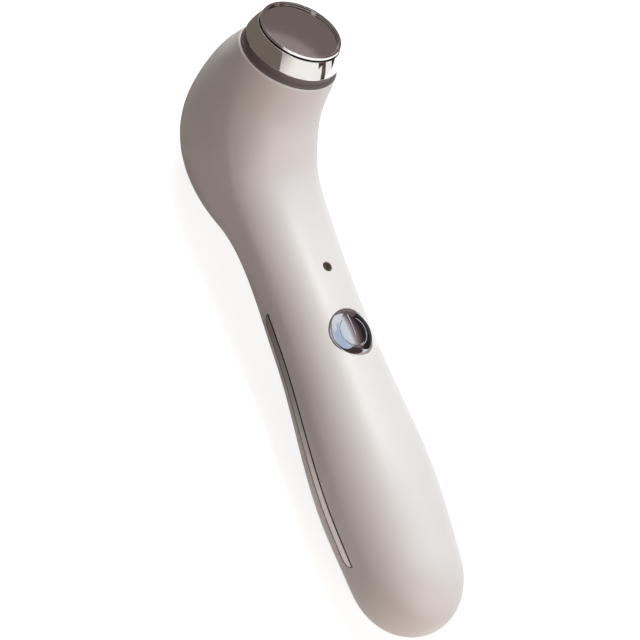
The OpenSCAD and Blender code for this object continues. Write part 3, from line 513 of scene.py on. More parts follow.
def add_lip(patches, angles):
    """The rounding above the last row, and the flat face under the gasket."""
    t = np.linspace(0, 1, 9)[:, None]
    a = angles[None, :] + 0 * t
    t = t + 0 * a
    patches.add(lip_skin(t, a), outward(lip_skin, np.clip(t, 0.01, 0.99), a, 0.01, 0.004))
    flat = np.array([lip_inner, lip_bore])[:, None]
    patches.add(on_head(flat * np.sin(a[:2]), flat * np.cos(a[:2]), 0.0), head_up)


def add_shell_rows(patches, a_rows, keep=None):
    """The skin over all rows for given angles, then the lip above it."""
    s = rows_s[:, None] + 0 * a_rows
    patches.add(skin(s, a_rows), outward(skin, s, a_rows, 0.25, 0.004), keep)
    add_lip(patches, a_rows[-1])


print("lip from", lip_outer, "to", lip_bore, "mm, rounded over", lip_round, "mm")


# %% [markdown]
# The rounded tail is closed by a cap. It can't run to a pole like a globe, because the rear
# shell has the charging socket's slot there. Seen from the end, the cap is a plain height
# field, so its patches are drawn flat, in width and depth, and then lifted onto the skin.

# %% The tail's cap as a height field
def tail_place(y, q):
    """Distance along the skin at which the tail has the point (y, q)."""
    y, q = np.abs(np.broadcast_arrays(y, q)[0]), np.broadcast_arrays(y, q)[1]
    w, d = at(width, cap_s) / at(share, cap_s), at(front, cap_s) / at(share, cap_s)
    low, high = np.full(y.shape, -np.pi / 2), np.full(y.shape, np.pi / 2)
    for _ in range(40):
        a = (low + high) / 2
        behind = eased(0.5 - np.sin(a) / 0.7)
        power = 2 / (front_fullness + (back_fullness - front_fullness) * behind)
        turned_on = q * w * np.cos(a) ** power > y * d * np.sign(np.sin(a)) * np.abs(np.sin(a)) ** power
        low, high = np.where(turned_on, a, low), np.where(turned_on, high, a)
    behind = eased(0.5 - np.sin(a) / 0.7)
    power = 2 / (front_fullness + (back_fullness - front_fullness) * behind)
    c, s = np.cos(a) ** power, np.abs(np.sin(a)) ** power
    full = np.where(c * w > s * d, y / np.maximum(w * c, 1e-9), np.abs(q) / np.maximum(d * s, 1e-9))
    return np.interp(full, share[:np.argmax(share > 0.999)], way[:np.argmax(share > 0.999)])


def tail_skin(y, q):
    return np.stack(np.broadcast_arrays(at(line_x, tail_place(y, q)), y, q + 0.0 * y), -1)


def tail_grid(patches, y, q):
    patches.add(tail_skin(y, q), outward(tail_skin, y, q, 0.05, 0.05))


test = section(cap_s, np.radians(40.0))
print("cap meets the skin within", abs(float(tail_place(*test) - cap_s)).__round__(5), "mm")

# %% [markdown]
# ## Holes as rings
# A round hole replaces a block of the grid. Rings of points lead from the block's edge to the
# hole's edge, roll over a small rounding and go down the wall. All of them lie on the same
# surface function, so light runs over the hole's edge as on a moulded part.

# %% A round hole in the front shell
upwards, inwards = np.array([0, 0, 1.0]), np.array([1.0, 0, 0])


def front_skin(y, u):
    """Point of the front at a place u along the handle and y to the left."""
    s = way_at(u)
    n = at(front_power, s)
    return on_line(s, y, at(front, s) * (1 - np.abs(y / at(width, s)) ** n) ** (1 / n))


def add_hole(patches, y, u, centre, radius, rounding, deep, rings=14):
    """Fills the block whose edge runs through (y, u) up to a round hole at a place on the front line."""
    a = np.arctan2(y, u - centre)
    t = np.linspace(0, 1, rings)[:, None] ** 0.8
    ring_y = (1 - t) * y + t * (radius + rounding) * np.sin(a)
    ring_u = (1 - t) * u + t * (centre + (radius + rounding) * np.cos(a))
    patches.add(front_skin(ring_y, ring_u), outward(front_skin, ring_y, ring_u, 0.1, 0.1), closed=True)
    top, out = front_skin(ring_y[-1], ring_u[-1]), outward(front_skin, ring_y[-1], ring_u[-1], 0.1, 0.1)
    away = np.stack([np.cos(a), np.sin(a), 0 * a], -1)
    over = np.linspace(0, np.pi / 2, 7)[:, None, None]
    edge_points = top - away * rounding * np.sin(over) - upwards * rounding * (1 - np.cos(over))
    edge_out = out * np.cos(over) - away * np.sin(over)
    patches.add(edge_points, edge_out / np.linalg.norm(edge_out, axis=-1, keepdims=True), closed=True)
    down = np.array([0, deep])[:, None, None]
    patches.add(edge_points[-1] - upwards * down, -away, closed=True)


def block_edge(grid, i0, i1, j0, j1):
    """The values round the edge of a block of a grid, in order."""
    return np.concatenate([grid[i0, j0:j1], grid[i0:i1, j1], grid[i1, j1:j0:-1], grid[i1:i0:-1, j0]])


# %% The front shell
button_at, button_r, button_gap = 75.0, 6.1, 0.18
light_at, lens_r = 92.7, 1.25
front_shell = Patches()
across = np.linspace(0, 1, 131)[None, :]
front_a = seam_a[:, None] + (np.pi - 2 * seam_a[:, None]) * across
keep = np.ones((len(rows_s) - 1, front_a.shape[1] - 1), bool)
front_y = section(rows_s[:, None] + 0 * front_a, front_a)[0]
front_u = rows_u[:, None] + 0 * front_a
button_hole = (button_at, button_r + button_gap, 0.22, 9.2, 2.4)
light_hole = (light_at, lens_r + 0.05, 0.12, 2.8, 1.6)
for centre, radius, rounding, reach, deep in (button_hole, light_hole):
    i0, i1 = np.searchsorted(rows_u, [centre - reach, centre + reach])
    j0 = int(np.argmin(np.abs(front_y[i0] - reach * 0.92)))
    j1 = front_a.shape[1] - 1 - j0
    keep[i0:i1, j0:j1] = False
    edge_y, edge_u = (block_edge(grid, i0, i1, j0, j1) for grid in (front_y, front_u))
    add_hole(front_shell, edge_y, edge_u, centre, radius, rounding, deep)
add_shell_rows(front_shell, front_a, keep)

arc_y, arc_q = section(cap_s + 0 * front_a[0], front_a[0])
chord_y = np.linspace(arc_y[0], arc_y[-1], len(arc_y))
t = np.linspace(0, 1, 36)[:, None]
tail_grid(front_shell, arc_y * (1 - t) + chord_y * t, arc_q * (1 - t) - seam_back * t)


def seam_wall(patches, points, out, facing, deep):
    """The narrow face that one shell turns to the other, going in from the seam."""
    patches.add(np.stack([points, points - out * deep]), np.broadcast_to(facing, points.shape))


for side in (0, -1):
    edge_points = skin(rows_s, front_a[:, side])
    edge_out = outward(skin, rows_s, front_a[:, side], 0.25, 0.004)
    facing = -np.stack([-np.sin(at(turn, rows_s)), 0 * rows_s, np.cos(at(turn, rows_s))], -1)
    seam_wall(front_shell, edge_points, edge_out, facing, seam_deep)
seam_line = tail_skin(chord_y, np.full(len(chord_y), -seam_back))
seam_out = outward(tail_skin, chord_y, np.full(len(chord_y), -seam_back), 0.05, 0.05)
seam_wall(front_shell, seam_line, seam_out, np.array([0, 0, -1.0]), seam_deep)
piece("front_shell_skin", front_shell.mesh("front_shell_skin"), body_satin,
      stands_for=("front_shell",))

# %% [markdown]
# ## The rear shell
# The same rows carry the rear shell. On each flank its first columns drop into the groove
# where the strip lies, and stay on the skin elsewhere.

# %% The rear shell
rear_shell = Patches()
flat_floor = np.linspace(0, 1, 6)
cut = np.where(in_groove, groove_deep, 0.0)
g_edge = groove_edge(rows_u)
outer_a = angle_behind(rows_s, g_edge + edge)
wide_a = np.linspace(0, 1, 121)[None, :]
rear_a = outer_a[:, None] + (-np.pi - 2 * outer_a[:, None]) * wide_a
add_shell_rows(rear_shell, rear_a)
s_rows = rows_s[:, None]
for side in (1, -1):
    def flank(angle):
        """An angle on the left flank, or its mirror on the right one."""
        return angle if side == 1 else -np.pi - angle

    band_q = seam_back + (g_edge[:, None] - seam_back) * flat_floor[None, :]
    band_a = angle_behind(s_rows + 0 * band_q, band_q)
    s_band = s_rows + 0 * band_a
    band_out = outward(skin, s_band, flank(band_a), 0.25, 0.004)
    band = skin(s_band, flank(band_a)) - band_out * cut[:, None, None]
    rear_shell.add(band, band_out)
    wall_q = g_edge[:, None] + np.array([0, 0, 0.5, 1])[None, :] * edge
    wall_deep = np.stack([cut, np.minimum(cut, edge), np.minimum(cut, 0.3 * edge), 0 * cut], 1)
    wall_a = angle_behind(s_rows + 0 * wall_q, wall_q)
    s_wall = s_rows + 0 * wall_a
    wall_out = outward(skin, s_wall, flank(wall_a), 0.25, 0.004)
    wall = skin(s_wall, flank(wall_a)) - wall_out * wall_deep[..., None]
    toward = np.stack([-np.sin(at(turn, rows_s)), 0 * rows_s, np.cos(at(turn, rows_s))], -1)[:, None]
    lean = np.where(in_groove[:, None], np.array([1, 1, 0.6, 0]), 0.0)[..., None]
    wall_facing = wall_out * (1 - lean) + toward * lean
    rear_shell.add(wall, wall_facing / np.linalg.norm(wall_facing, axis=-1, keepdims=True))
    seam_wall(rear_shell, band[:, 0], band_out[:, 0], toward[:, 0], seam_deep)
    add_lip(rear_shell, flank(np.concatenate([band_a[-1], wall_a[-1, 1:]])))

# %% [markdown]
# The charging slot is a rounded opening in the tail. Rings lead from the cap's outline to the
# slot's edge, over a small rounding and inside, just as for the round holes.

# %% The rear shell's cap with the charging slot
port_drop, port_w, port_h, port_gap, port_sink = 5.2, 8.94, 3.26, 0.2, 2.7


def slot_reach(a, half, radius):
    """Distance from a slot's middle to its edge in a direction a."""
    c, s = np.abs(np.cos(a)), np.abs(np.sin(a))
    round_end = half * c + np.sqrt(np.maximum(radius ** 2 - (half * s) ** 2, 0))
    return np.where(s * half <= c * radius, round_end, radius / np.maximum(s, 1e-9))


band_cap = np.concatenate([flat_floor[:-1] * (g_edge[0] - seam_back) + seam_back,
                           g_edge[0] + np.array([0, 0.5]) * edge])
left_y, left_q = section(cap_s + 0 * band_cap, angle_behind(cap_s + 0 * band_cap, band_cap))
arc_y, arc_q = section(cap_s + 0 * rear_a[0], rear_a[0])
rim_y = np.concatenate([left_y, arc_y, -left_y[::-1], chord_y[::-1][1:-1]])
rim_q = np.concatenate([left_q, arc_q, left_q[::-1], np.full(len(chord_y) - 2, -seam_back)])
aim = np.arctan2(rim_q + port_drop, rim_y)
slot_half, slot_r, slot_round = (port_w - port_h) / 2, port_h / 2 + port_gap, 0.3
reach = slot_reach(aim, slot_half, slot_r + slot_round)
t = np.linspace(0, 1, 26)[:, None]
ring_y = rim_y * (1 - t) + reach * np.cos(aim) * t
ring_q = rim_q * (1 - t) + (reach * np.sin(aim) - port_drop) * t
rear_shell.add(tail_skin(ring_y, ring_q), outward(tail_skin, ring_y, ring_q, 0.05, 0.05), closed=True)
slot_y, slot_q = ring_y[-1], ring_q[-1] + port_drop
core_y = np.clip(slot_y, -slot_half, slot_half)
away = np.stack([0 * slot_y, slot_y - core_y, slot_q], -1)
away /= np.linalg.norm(away, axis=-1, keepdims=True)
top, out = tail_skin(ring_y[-1], ring_q[-1]), outward(tail_skin, ring_y[-1], ring_q[-1], 0.05, 0.05)
over = np.linspace(0, np.pi / 2, 7)[:, None, None]
rolled = top - away * slot_round * np.sin(over) + inwards * slot_round * (1 - np.cos(over))
rolled_out = out * np.cos(over) - away * np.sin(over)
rear_shell.add(rolled, rolled_out / np.linalg.norm(rolled_out, axis=-1, keepdims=True), closed=True)
inside = rolled[-1] * [0, 1, 1] + inwards * 6.5
rear_shell.add(np.stack([rolled[-1], inside]), -away, closed=True)
seam_wall(rear_shell, seam_line, seam_out, np.array([0, 0, 1.0]), seam_deep)
piece("rear_shell_skin", rear_shell.mesh("rear_shell_skin"), body_satin,
      stands_for=("rear_shell",))

# %% [markdown]
# ## The side strips
# Each strip is a thin satin metal blade that follows the skin exactly. Its edges are broken by
# a tiny bevel, so they catch the light. The blade sits in a black bed that fills the groove
# almost to the skin. The bed is partly sealant and partly painted shade: its black stands in for
# the shade down in the gap and makes the crisp dark line round a strip, where a bare groove
# would mostly show the blade's own bright side.

# %% Left and right strip
def strip_mesh(name, side):
    made = Patches()
    grow = np.sin(np.linspace(0, np.pi / 2, 26))
    shrink = 1 - np.cos(np.linspace(0, np.pi / 2, 40))
    start, end = strip_from + back_gap, strip_to - back_gap
    u = np.concatenate([start + strip_round * (1 - np.sqrt(1 - grow[:-1] ** 2)),
                        np.linspace(start + strip_round, end - strip_point, 90)[:-1],
                        end - strip_point * (1 - shrink)])
    u = np.unique(np.round(u, 5))
    s = way_at(u)
    low = seam_back + strip_gap
    wide = np.maximum(strip_w * strip_share(u, start, end), 0.004)[:, None]
    bevel = np.minimum(0.07, wide * 0.3)
    q = low + wide * np.linspace(0, 1, 9)[None, :]
    q[:, 1], q[:, -2] = low + bevel[:, 0], low + wide[:, 0] - bevel[:, 0]
    q[:, 2:-2] = q[:, 1:2] + (q[:, -2:-1] - q[:, 1:2]) * np.linspace(0, 1, 7)[None, 1:-1]
    a = angle_behind(s[:, None] + 0 * q, q)
    a = a if side == 1 else -np.pi - a
    s2 = s[:, None] + 0 * a
    out = outward(skin, s2, a, 0.25, 0.004)
    to_front = np.stack([0 * s, 0 * s, 1 + 0 * s], -1)[:, None]
    top = skin(s2, a)
    deep = np.zeros(q.shape)
    deep[:, 0] = deep[:, -1] = bevel[:, 0]
    lean = np.zeros(q.shape)
    lean[:, 0], lean[:, -1] = 1, -1
    facing = out + to_front * lean[..., None]
    made.add(top - out * deep[..., None], facing / np.linalg.norm(facing, axis=-1, keepdims=True))
    for column, way_out in ((0, to_front[:, 0]), (-1, -to_front[:, 0])):
        wall = np.stack([top[:, column] - out[:, column] * bevel, top[:, column] - out[:, column] * strip_t])
        made.add(wall, np.broadcast_to(way_out, wall.shape))
    made.add(top - out * strip_t, -out)
    return made.mesh(name)


for name, side, solid in (("left_strip_blade", 1, "left_strip"), ("right_strip_blade", -1, "right_strip")):
    piece(name, strip_mesh(name, side), strip_satin, stands_for=(solid,))


# %% The black beds under the strips: sealant and painted shade in the gaps
def sealant_shade_bed_mesh(name, side, bed_top=0.04, bed_foot=0.58):
    """A black ribbon that fills the groove from its floor almost up to the skin: sealant and painted gap shade."""
    made = Patches()
    grow = 1 - np.cos(np.linspace(0, np.pi / 2, 20))
    start, end = strip_from + 0.03, strip_to - 0.03
    u = np.concatenate([start + strip_round * grow, np.linspace(start + strip_round, end - strip_point, 80),
                        end - strip_point * grow])
    u = np.unique(np.round(u, 5))
    s, far = way_at(u), groove_edge(u)[:, None] - 0.02
    q = seam_back + 0.02 + (far - seam_back - 0.02) * np.linspace(0, 1, 7)[None, :]
    a = angle_behind(s[:, None] + 0 * q, q)
    a = a if side == 1 else -np.pi - a
    s2 = s[:, None] + 0 * a
    surface, out = skin(s2, a), outward(skin, s2, a, 0.25, 0.004)
    made.add(surface - out * bed_top, out)
    made.add(surface - out * bed_foot, -out)
    for column, way_out in ((0, upwards), (-1, -upwards)):
        wall = np.stack([surface[:, column] - out[:, column] * deep for deep in (bed_top, bed_foot)])
        made.add(wall, np.broadcast_to(way_out, wall.shape))
    return made.mesh(name)


# The black beds are partly sealant and partly painted shade for the dark lines round the strips.
for name, side in (("left_strip_bed", 1), ("right_strip_bed", -1)):
    piece(name, sealant_shade_bed_mesh(name, side), seal_rubber)

# %% [markdown]
# ## Turned pieces
# The ring, the gasket, the seal, the plate, the lens and the button are round, so each is a
# profile spun about its axis. A profile is a list of corners with their rounding. The helper
# gives every point of the rounded corners its exact outward direction, which keeps mirror
# reflections straight on the flats and tight at the edges.

# %% Rounded profiles and spinning them
def rounded(corners, steps=6):
    """Points (r, h) and outward directions of a profile; each corner is (r, h, rounding)."""
    points, out = [], []
    p = np.array([c[:2] for c in corners], float)
    for i, corner in enumerate(corners):
        before = p[i] - p[i - 1] if i else p[1] - p[0]
        after = p[i + 1] - p[i] if i < len(p) - 1 else before
        before, after = before / np.linalg.norm(before), after / np.linalg.norm(after)
        n0, n1 = (np.array([-d[1], d[0]]) for d in (before, after))
        bend = math.atan2(before[0] * after[1] - before[1] * after[0], before @ after)
        if abs(bend) < 1e-6 or corner[2] == 0:
            for n in (n0, n1):
                points.append(p[i])
                out.append(n)
            continue
        side = math.copysign(1, bend)
        cut_back = corner[2] * math.tan(abs(bend) / 2)
        pivot = p[i] - before * cut_back + n0 * corner[2] * side
        for k in range(steps + 1):
            b = bend * k / steps
            n = np.array([n0[0] * math.cos(b) - n0[1] * math.sin(b), n0[0] * math.sin(b) + n0[1] * math.cos(b)])
            points.append(pivot - n * corner[2] * side)
            out.append(n)
    return np.array(points), np.array(out)


def spun(corners, to_place, axis_up, axis_front, segments=192, steps=6):
    """A profile spun about an axis: to_place turns (x, y, h) into a point of the wand."""
    profile, normals = rounded(corners, steps)
    made = Patches()
    a = np.linspace(0, 2 * np.pi, segments, endpoint=False)[None, :]
    r, h = profile[:, :1], profile[:, 1:]
    points = to_place(r * np.cos(a), r * np.sin(a), h + 0 * a)
    radial = np.cos(a)[..., None] * axis_front + np.sin(a)[..., None] * np.array([0, 1.0, 0])
    made.add(points, normals[:, :1, None] * radial + normals[:, 1:, None] * axis_up, closed=True)
    return made


def head_piece(name, corners, made_of, stands_for, steps=6):
    spin = spun(corners, on_head, head_up, head_front, steps=steps)
    return piece(name, spin.mesh(name), made_of, stands_for=stands_for)


# %% Sizes in the head, as heights above the lip
gasket_h, ring_h, seal_t, plate_t, face_sink = 2.5, 4.6, 0.35, 0.8, 0.6
bore_r, gasket_r, gasket_foot = 11.05, 12.0, 12.75
ring_foot, ring_top, throat_r, tube_out, tube_in, tube_deep = 12.4, 10.8, 9.1, 10.95, 10.0, 5
ring_up = gasket_h + ring_h
plate_foot = ring_up + seal_t
plate_top = plate_foot + plate_t
seal_r, plate_r, face_r, face_h = ring_top - 0.7, ring_top - 0.2, 9.85, plate_top - face_sink
print("mirror face", round(2 * face_r, 2), "mm across,", round(face_h, 2), "mm above the lip")

# %% [markdown]
# The gasket's foot spreads a little over the lip and hides its flat face. The ring's side is
# barrelled by a fifth of a millimetre, which bends the pale and dark parts of the studio in it
# as the real one does. Below the gasket the ring goes on as a tube that holds the stack inside.
# The seal is thinner than a line in the photograph, and the plate's rim stands above its face.

# %% The head: gasket, ring, seal and plate
head_piece("gasket_band", [(bore_r, gasket_h, 0), (gasket_r, gasket_h, 0), (gasket_r, 1.1, 0.9),
                           (gasket_foot, 0.12, 0.05), (gasket_foot, 0.02, 0), (bore_r, 0.02, 0)],
           gasket_rubber, ("ring_gasket",))
barrel_r, barrel_h = (ring_top + ring_foot) / 2 + 0.19, (ring_up + gasket_h) / 2 + 0.2
head_piece("polished_ring", [(throat_r, ring_up - 1.0, 0), (throat_r, ring_up, 0.1), (ring_top, ring_up, 0.14),
                             (barrel_r, barrel_h, 24), (ring_foot, gasket_h + 0.28, 0.12),
                             (ring_foot - 0.1, gasket_h, 0.1), (tube_out, gasket_h, 0), (tube_out, -tube_deep, 0),
                             (tube_in, -tube_deep, 0), (tube_in, ring_up - 1.6, 0), (throat_r, ring_up - 1.0, 0)],
           ring_polish, ("head_ring",), steps=10)
seal_up = ring_up + seal_t + 0.1
head_piece("plate_seal_ring", [(throat_r, seal_up, 0), (seal_r, seal_up, 0.05), (seal_r, ring_up, 0.05),
                               (throat_r, ring_up, 0)], seal_rubber, ("plate_seal",))
plate_under, plug_r, plug_foot = plate_foot + 0.1, 9.0, plate_foot - 1.35
head_piece("mirror_plate", [(0, face_h, 0), (face_r, face_h, 0.06), (face_r + 0.01, plate_top, 0.05),
                            (plate_r - 0.05, plate_top, 0.06), (plate_r, plate_under, 0.06),
                            (plug_r, plate_under, 0), (plug_r, plug_foot, 0), (0, plug_foot, 0)],
           plate_polish, ("cold_plate",), steps=8)

# %% [markdown]
# ## The power button
# The button is a plated dome. Its symbol is pressed into it as a fine groove: a ring that is
# open towards the head, and a short bar through the opening. The dome is one dense disc whose
# height is a function of place, so the groove's slopes get exact directions too.

# %% The button's dome with its pressed symbol
front_line = float(at(front, way_at(button_at)))
button_rim = front_line - 0.9
dome_h, symbol_r, symbol_w, symbol_deep = 1.1, 3.8, 0.5, 0.06


def symbol_distance(x, y):
    """Distance from the middle of the symbol's lines; x runs towards the head."""
    r, a = np.hypot(x, y), np.arctan2(y, x)
    opening = math.radians(34)
    on_arc = np.abs(r - symbol_r)
    end_x, end_y = symbol_r * math.cos(opening), symbol_r * math.sin(opening)
    arc = np.where(np.abs(a) > opening, on_arc, np.hypot(x - end_x, np.abs(y) - end_y))
    bar = np.hypot(x - np.clip(x, -0.9, 4.4), y)
    return np.minimum(arc, bar)


def dome_height(x, y):
    r = np.minimum(np.hypot(x, y) / button_r, 0.9999)
    dome = button_rim + dome_h * (1 - r ** 2.1) ** 0.62
    line = np.clip(1 - symbol_distance(x, y) / (symbol_w / 2), 0, 1)
    return dome - symbol_deep * eased(line * 1.4)


def dome(x, y):
    return np.stack(np.broadcast_arrays(button_at + x, y, dome_height(x, y)), -1)


button = Patches()
flat_r = 5.0
toward_rim = np.sin(np.linspace(0, np.pi / 2, 30))[1:-1] * 0.998
r = np.concatenate([np.linspace(0, flat_r, 100), flat_r + (button_r - flat_r) * toward_rim])[:, None]
a = np.linspace(0, 2 * np.pi, 288, endpoint=False)[None, :]
x, y = r * np.cos(a), r * np.sin(a)
out = -outward(dome, x, y, 0.01, 0.01)
button.add(dome(x, y), out, closed=True)
wall_top, wall_foot = button_rim - 0.15, button_rim - 2.1
radial = np.stack([np.cos(a[0]), np.sin(a[0]), 0 * a[0]], -1)
side_points = np.stack([dome(x[-1], y[-1])] + [button_r * radial + [button_at, 0, h] for h in (wall_top, wall_foot)])
button.add(side_points, np.broadcast_to(radial, side_points.shape), closed=True)
under = side_points[-1:]
centre_under = np.broadcast_to([button_at, 0, wall_foot], under.shape)
button.add(np.concatenate([under, centre_under]), -upwards, closed=True)
button_piece = piece("button_dome", button.mesh("button_dome"), button_plate,
                     body="button", stands_for=("power_button",))

# %% [markdown]
# The status light sits at the bottom of its hole, behind a smoked lens with a shallow dish. It
# is so small that only its dark colour and the rounded edge of the hole are seen.

# %% The status light's lens
light_line = float(at(front, way_at(light_at)))


def over_light(x, y, h):
    return np.stack(np.broadcast_arrays(light_at + x, y, light_line + h), -1)


lens_sunk, lens_foot = -0.34, -1.7
lens = spun([(0, -0.42, 0), (0.85, -0.5, 0.3), (1.05, lens_sunk, 0.06), (lens_r, lens_sunk, 0.05),
             (lens_r, lens_foot, 0), (0, lens_foot, 0)], over_light, upwards, inwards, segments=72)
piece("status_lens", lens.mesh("status_lens"), lens_smoke, stands_for=("led_lens",))

# %% [markdown]
# ## The charging socket
# Its metal shell is folded sheet, so its mouth is a thin rounded edge and not a block. The
# outline is the same slot, stepped in and out by the sheet's thickness.

# %% The socket's folded shell
def around_slot(steps_out, segments=96):
    """A closed sleeve: each step is (distance beyond the slot's middle line, place from the tail tip)."""
    profile, normals = rounded(steps_out, 4)
    made = Patches()
    t = np.linspace(0, 2 * np.pi, segments, endpoint=False)
    a = np.arctan2(np.sin(t), np.cos(t))
    core = np.where(np.cos(a) >= 0, slot_half, -slot_half)[None, :]
    d, u = profile[:, :1], profile[:, 1:]
    points = np.stack(np.broadcast_arrays(u, core + d * np.cos(a), d * np.sin(a) - port_drop), -1)
    radial = np.stack([0 * a, np.cos(a), np.sin(a)], -1)
    made.add(points, normals[:, :1, None] * radial + normals[:, 1:, None] * np.array([1.0, 0, 0]), closed=True)
    return made


sheet_out, sheet_in = port_h / 2, port_h / 2 - 0.3
mouth, back_in, back_out = port_sink, port_sink + 6.3, port_sink + 7.3
socket = around_slot([(sheet_out, back_out, 0), (sheet_out, mouth, 0.12), (sheet_in, mouth, 0.12),
                      (sheet_in, back_in, 0), (0.01, back_in, 0)])
piece("socket_shell", socket.mesh("socket_shell"), inner["steel"], stands_for=("charge_socket",))

# %% [markdown]
# ## Camera
# The photograph looks down on the wand from the front left, with a long lens, rolled so that
# the handle runs down to the right. Its three axes were measured from the outline.

# %% The camera
look_right, look_up, look_back = (0.3314, 0.7641, 0.5534), (-0.9181, 0.1261, 0.3757), (0.2173, -0.6327, 0.7433)
left_part, _, right_part = np.linalg.svd(np.array([look_right, look_up, look_back]))
axes = left_part @ right_part       # the nearest three axes at exact right angles
photo_scale, photo_distance, photo_shift = 4.14, 860.0, np.array([26.48, -76.12, 0])


def photo_to_floor(v):
    """From the upright frame that the outline was measured in to the wand as it lies."""
    return np.array([v[0] * math.cos(tilt) + v[2] * math.sin(tilt), v[1],
                     v[2] * math.cos(tilt) - v[0] * math.sin(tilt)])


eye = photo_to_floor(axes.T @ (np.array([0, 0, photo_distance]) - photo_shift)) + [middle, 0, lift]
view = Matrix([[*row, 0] for row in np.array([photo_to_floor(v) for v in axes]).T] + [[0, 0, 0, 1]])
camera = bpy.data.objects.new("camera", bpy.data.cameras.new("camera"))
bpy.context.scene.collection.objects.link(camera)
camera.matrix_world = Matrix.Translation(Vector(eye * 0.001)) @ view
camera.data.sensor_width = 36
camera.data.lens = photo_scale * photo_distance * 36 / 640
camera.data.clip_start = 0.05
bpy.context.scene.camera = camera
bpy.context.scene.view_settings.view_transform = "Standard"
print("camera at", np.round(eye * 0.001, 3), "lens", round(camera.data.lens, 1))

# %% [markdown]
# ## Floor, surroundings and lamps
# The photograph's ground is plain white. The floor shows as near white to the eye and to
# polished metal, while it still takes the wand's soft shadow. To soft light it is only pale,
# so it doesn't fill the shadow side more than a studio table does.

# %% Floor and surroundings
def white_to_eye(tree, low, high):
    """Mixes two shaders: high is what the eye, metal and glass see, low lights the object."""
    path = node(tree, "LightPath")
    seen = sums(tree, "MAXIMUM", sums(tree, "MAXIMUM", path.outputs["Is Camera Ray"], path.outputs["Is Glossy Ray"]),
                path.outputs["Is Transmission Ray"])
    mix = node(tree, "MixShader")
    feed(tree, mix.inputs[0], seen)
    feed(tree, mix.inputs[1], low)
    feed(tree, mix.inputs[2], high)
    return mix.outputs[0]


floor_paint = bpy.data.materials.new("floor paint")
floor_paint.use_nodes = True
tree = floor_paint.node_tree
tree.nodes.clear()
matt = node(tree, "BsdfDiffuse")
matt.inputs["Color"].default_value = (0.42, 0.395, 0.375, 1)
glow = node(tree, "Emission")
glow.inputs["Color"].default_value = (1, 1, 1, 1)
glow.inputs["Strength"].default_value = 0.86
both = node(tree, "AddShader")
feed(tree, both.inputs[0], matt.outputs[0])
feed(tree, both.inputs[1], glow.outputs[0])
feed(tree, node(tree, "OutputMaterial").inputs["Surface"], white_to_eye(tree, matt.outputs[0], both.outputs[0]))

floor_mesh = bpy.data.meshes.new("floor")
floor_mesh.from_pydata([(-4, -4, 0), (4, -4, 0), (4, 4, 0), (-4, 4, 0)], [], [(0, 1, 2, 3)])
floor_mesh.materials.append(floor_paint)
floor = bpy.data.objects.new("floor", floor_mesh)
bpy.context.scene.collection.objects.link(floor)

world = bpy.data.worlds.new("studio")
bpy.context.scene.world = world
world.use_nodes = True
tree = world.node_tree
tree.nodes.clear()
room, sky = node(tree, "Background"), node(tree, "Background")
room.inputs["Color"].default_value = (0.055, 0.018, 0.015, 1)
sky.inputs["Color"].default_value = (1, 1, 1, 1)
feed(tree, node(tree, "OutputWorld").inputs["Surface"], white_to_eye(tree, room.outputs[0], sky.outputs[0]))
print("floor of", len(floor_mesh.polygons), "face, and a sky that is white to the eye")

# %% [markdown]
# ## Lamps
# A small key lamp high over the head gives the ridge its soft gleam. Large soft lamps at the
# head, at the tail and on the far side shade the body, and a low one keeps the tail's near side
# from going dark. Only the key may show in polish. Even so its image would be a hard white
# block in the plated dome, so it leaves the dome out: the cards below stand there instead.

# %% Lamps
def lamp(name, aim_from, size, strength, colour=(1, 1, 1), target=(0, 0, 0.02)):
    """A soft square lamp; strength is the brightness that it alone gives a white card facing it."""
    data = bpy.data.lights.new(name, "AREA")
    data.shape, data.size, data.size_y = "RECTANGLE", *size
    away = Vector(aim_from) - Vector(target)
    data.energy = strength * math.pi ** 2 * away.length ** 2
    data.color = colour
    made = bpy.data.objects.new(name, data)
    made.location = aim_from
    made.rotation_euler = away.to_track_quat("Z", "Y").to_euler()
    made.visible_camera = False
    bpy.context.scene.collection.objects.link(made)
    return made


key = lamp("key over the head", (-0.40, 0.11, 1.02), (0.3, 0.3), 0.655, (0.99, 1, 0.955))
head_side = lamp("head side", (-0.90, 0.33, 0.55), (0.6, 0.6), 0.69, (0.885, 0.97, 1))
tail_side = lamp("tail side", (1.00, -0.20, 0.50), (0.6, 0.6), 0.44, (1, 0.86, 0.81))
far_side = lamp("far side", (0.85, 0.65, 0.20), (0.6, 0.3), 0.15, (0.85, 0.97, 1))
above = lamp("above", (0.00, 0.33, 1.05), (0.6, 0.6), 0.19, (0.19, 0.73, 1))
low_tail = lamp("low tail", (0.95, -0.35, 0.12), (0.5, 0.2), 0.05, (1, 0.92, 0.88))
for soft in (head_side, tail_side, far_side, above, low_tail):
    soft.visible_glossy = False
unlit = bpy.data.collections.new("left out by the key")
unlit.objects.link(button_piece)
key.light_linking.receiver_collection = unlit
unlit.collection_objects[0].light_linking.link_state = "EXCLUDE"

# %% [markdown]
# Polished metal shows the studio, so the studio has to be there. In the photograph it is dark on
# the camera's side and behind the head, pale at the tail, and pale above. Cards stand for it,
# and only mirror reflections see them: they cast no shadow and light nothing. A card takes its
# colour from a ramp that runs up it or along it.

# %% Cards for the polished parts
cards = []


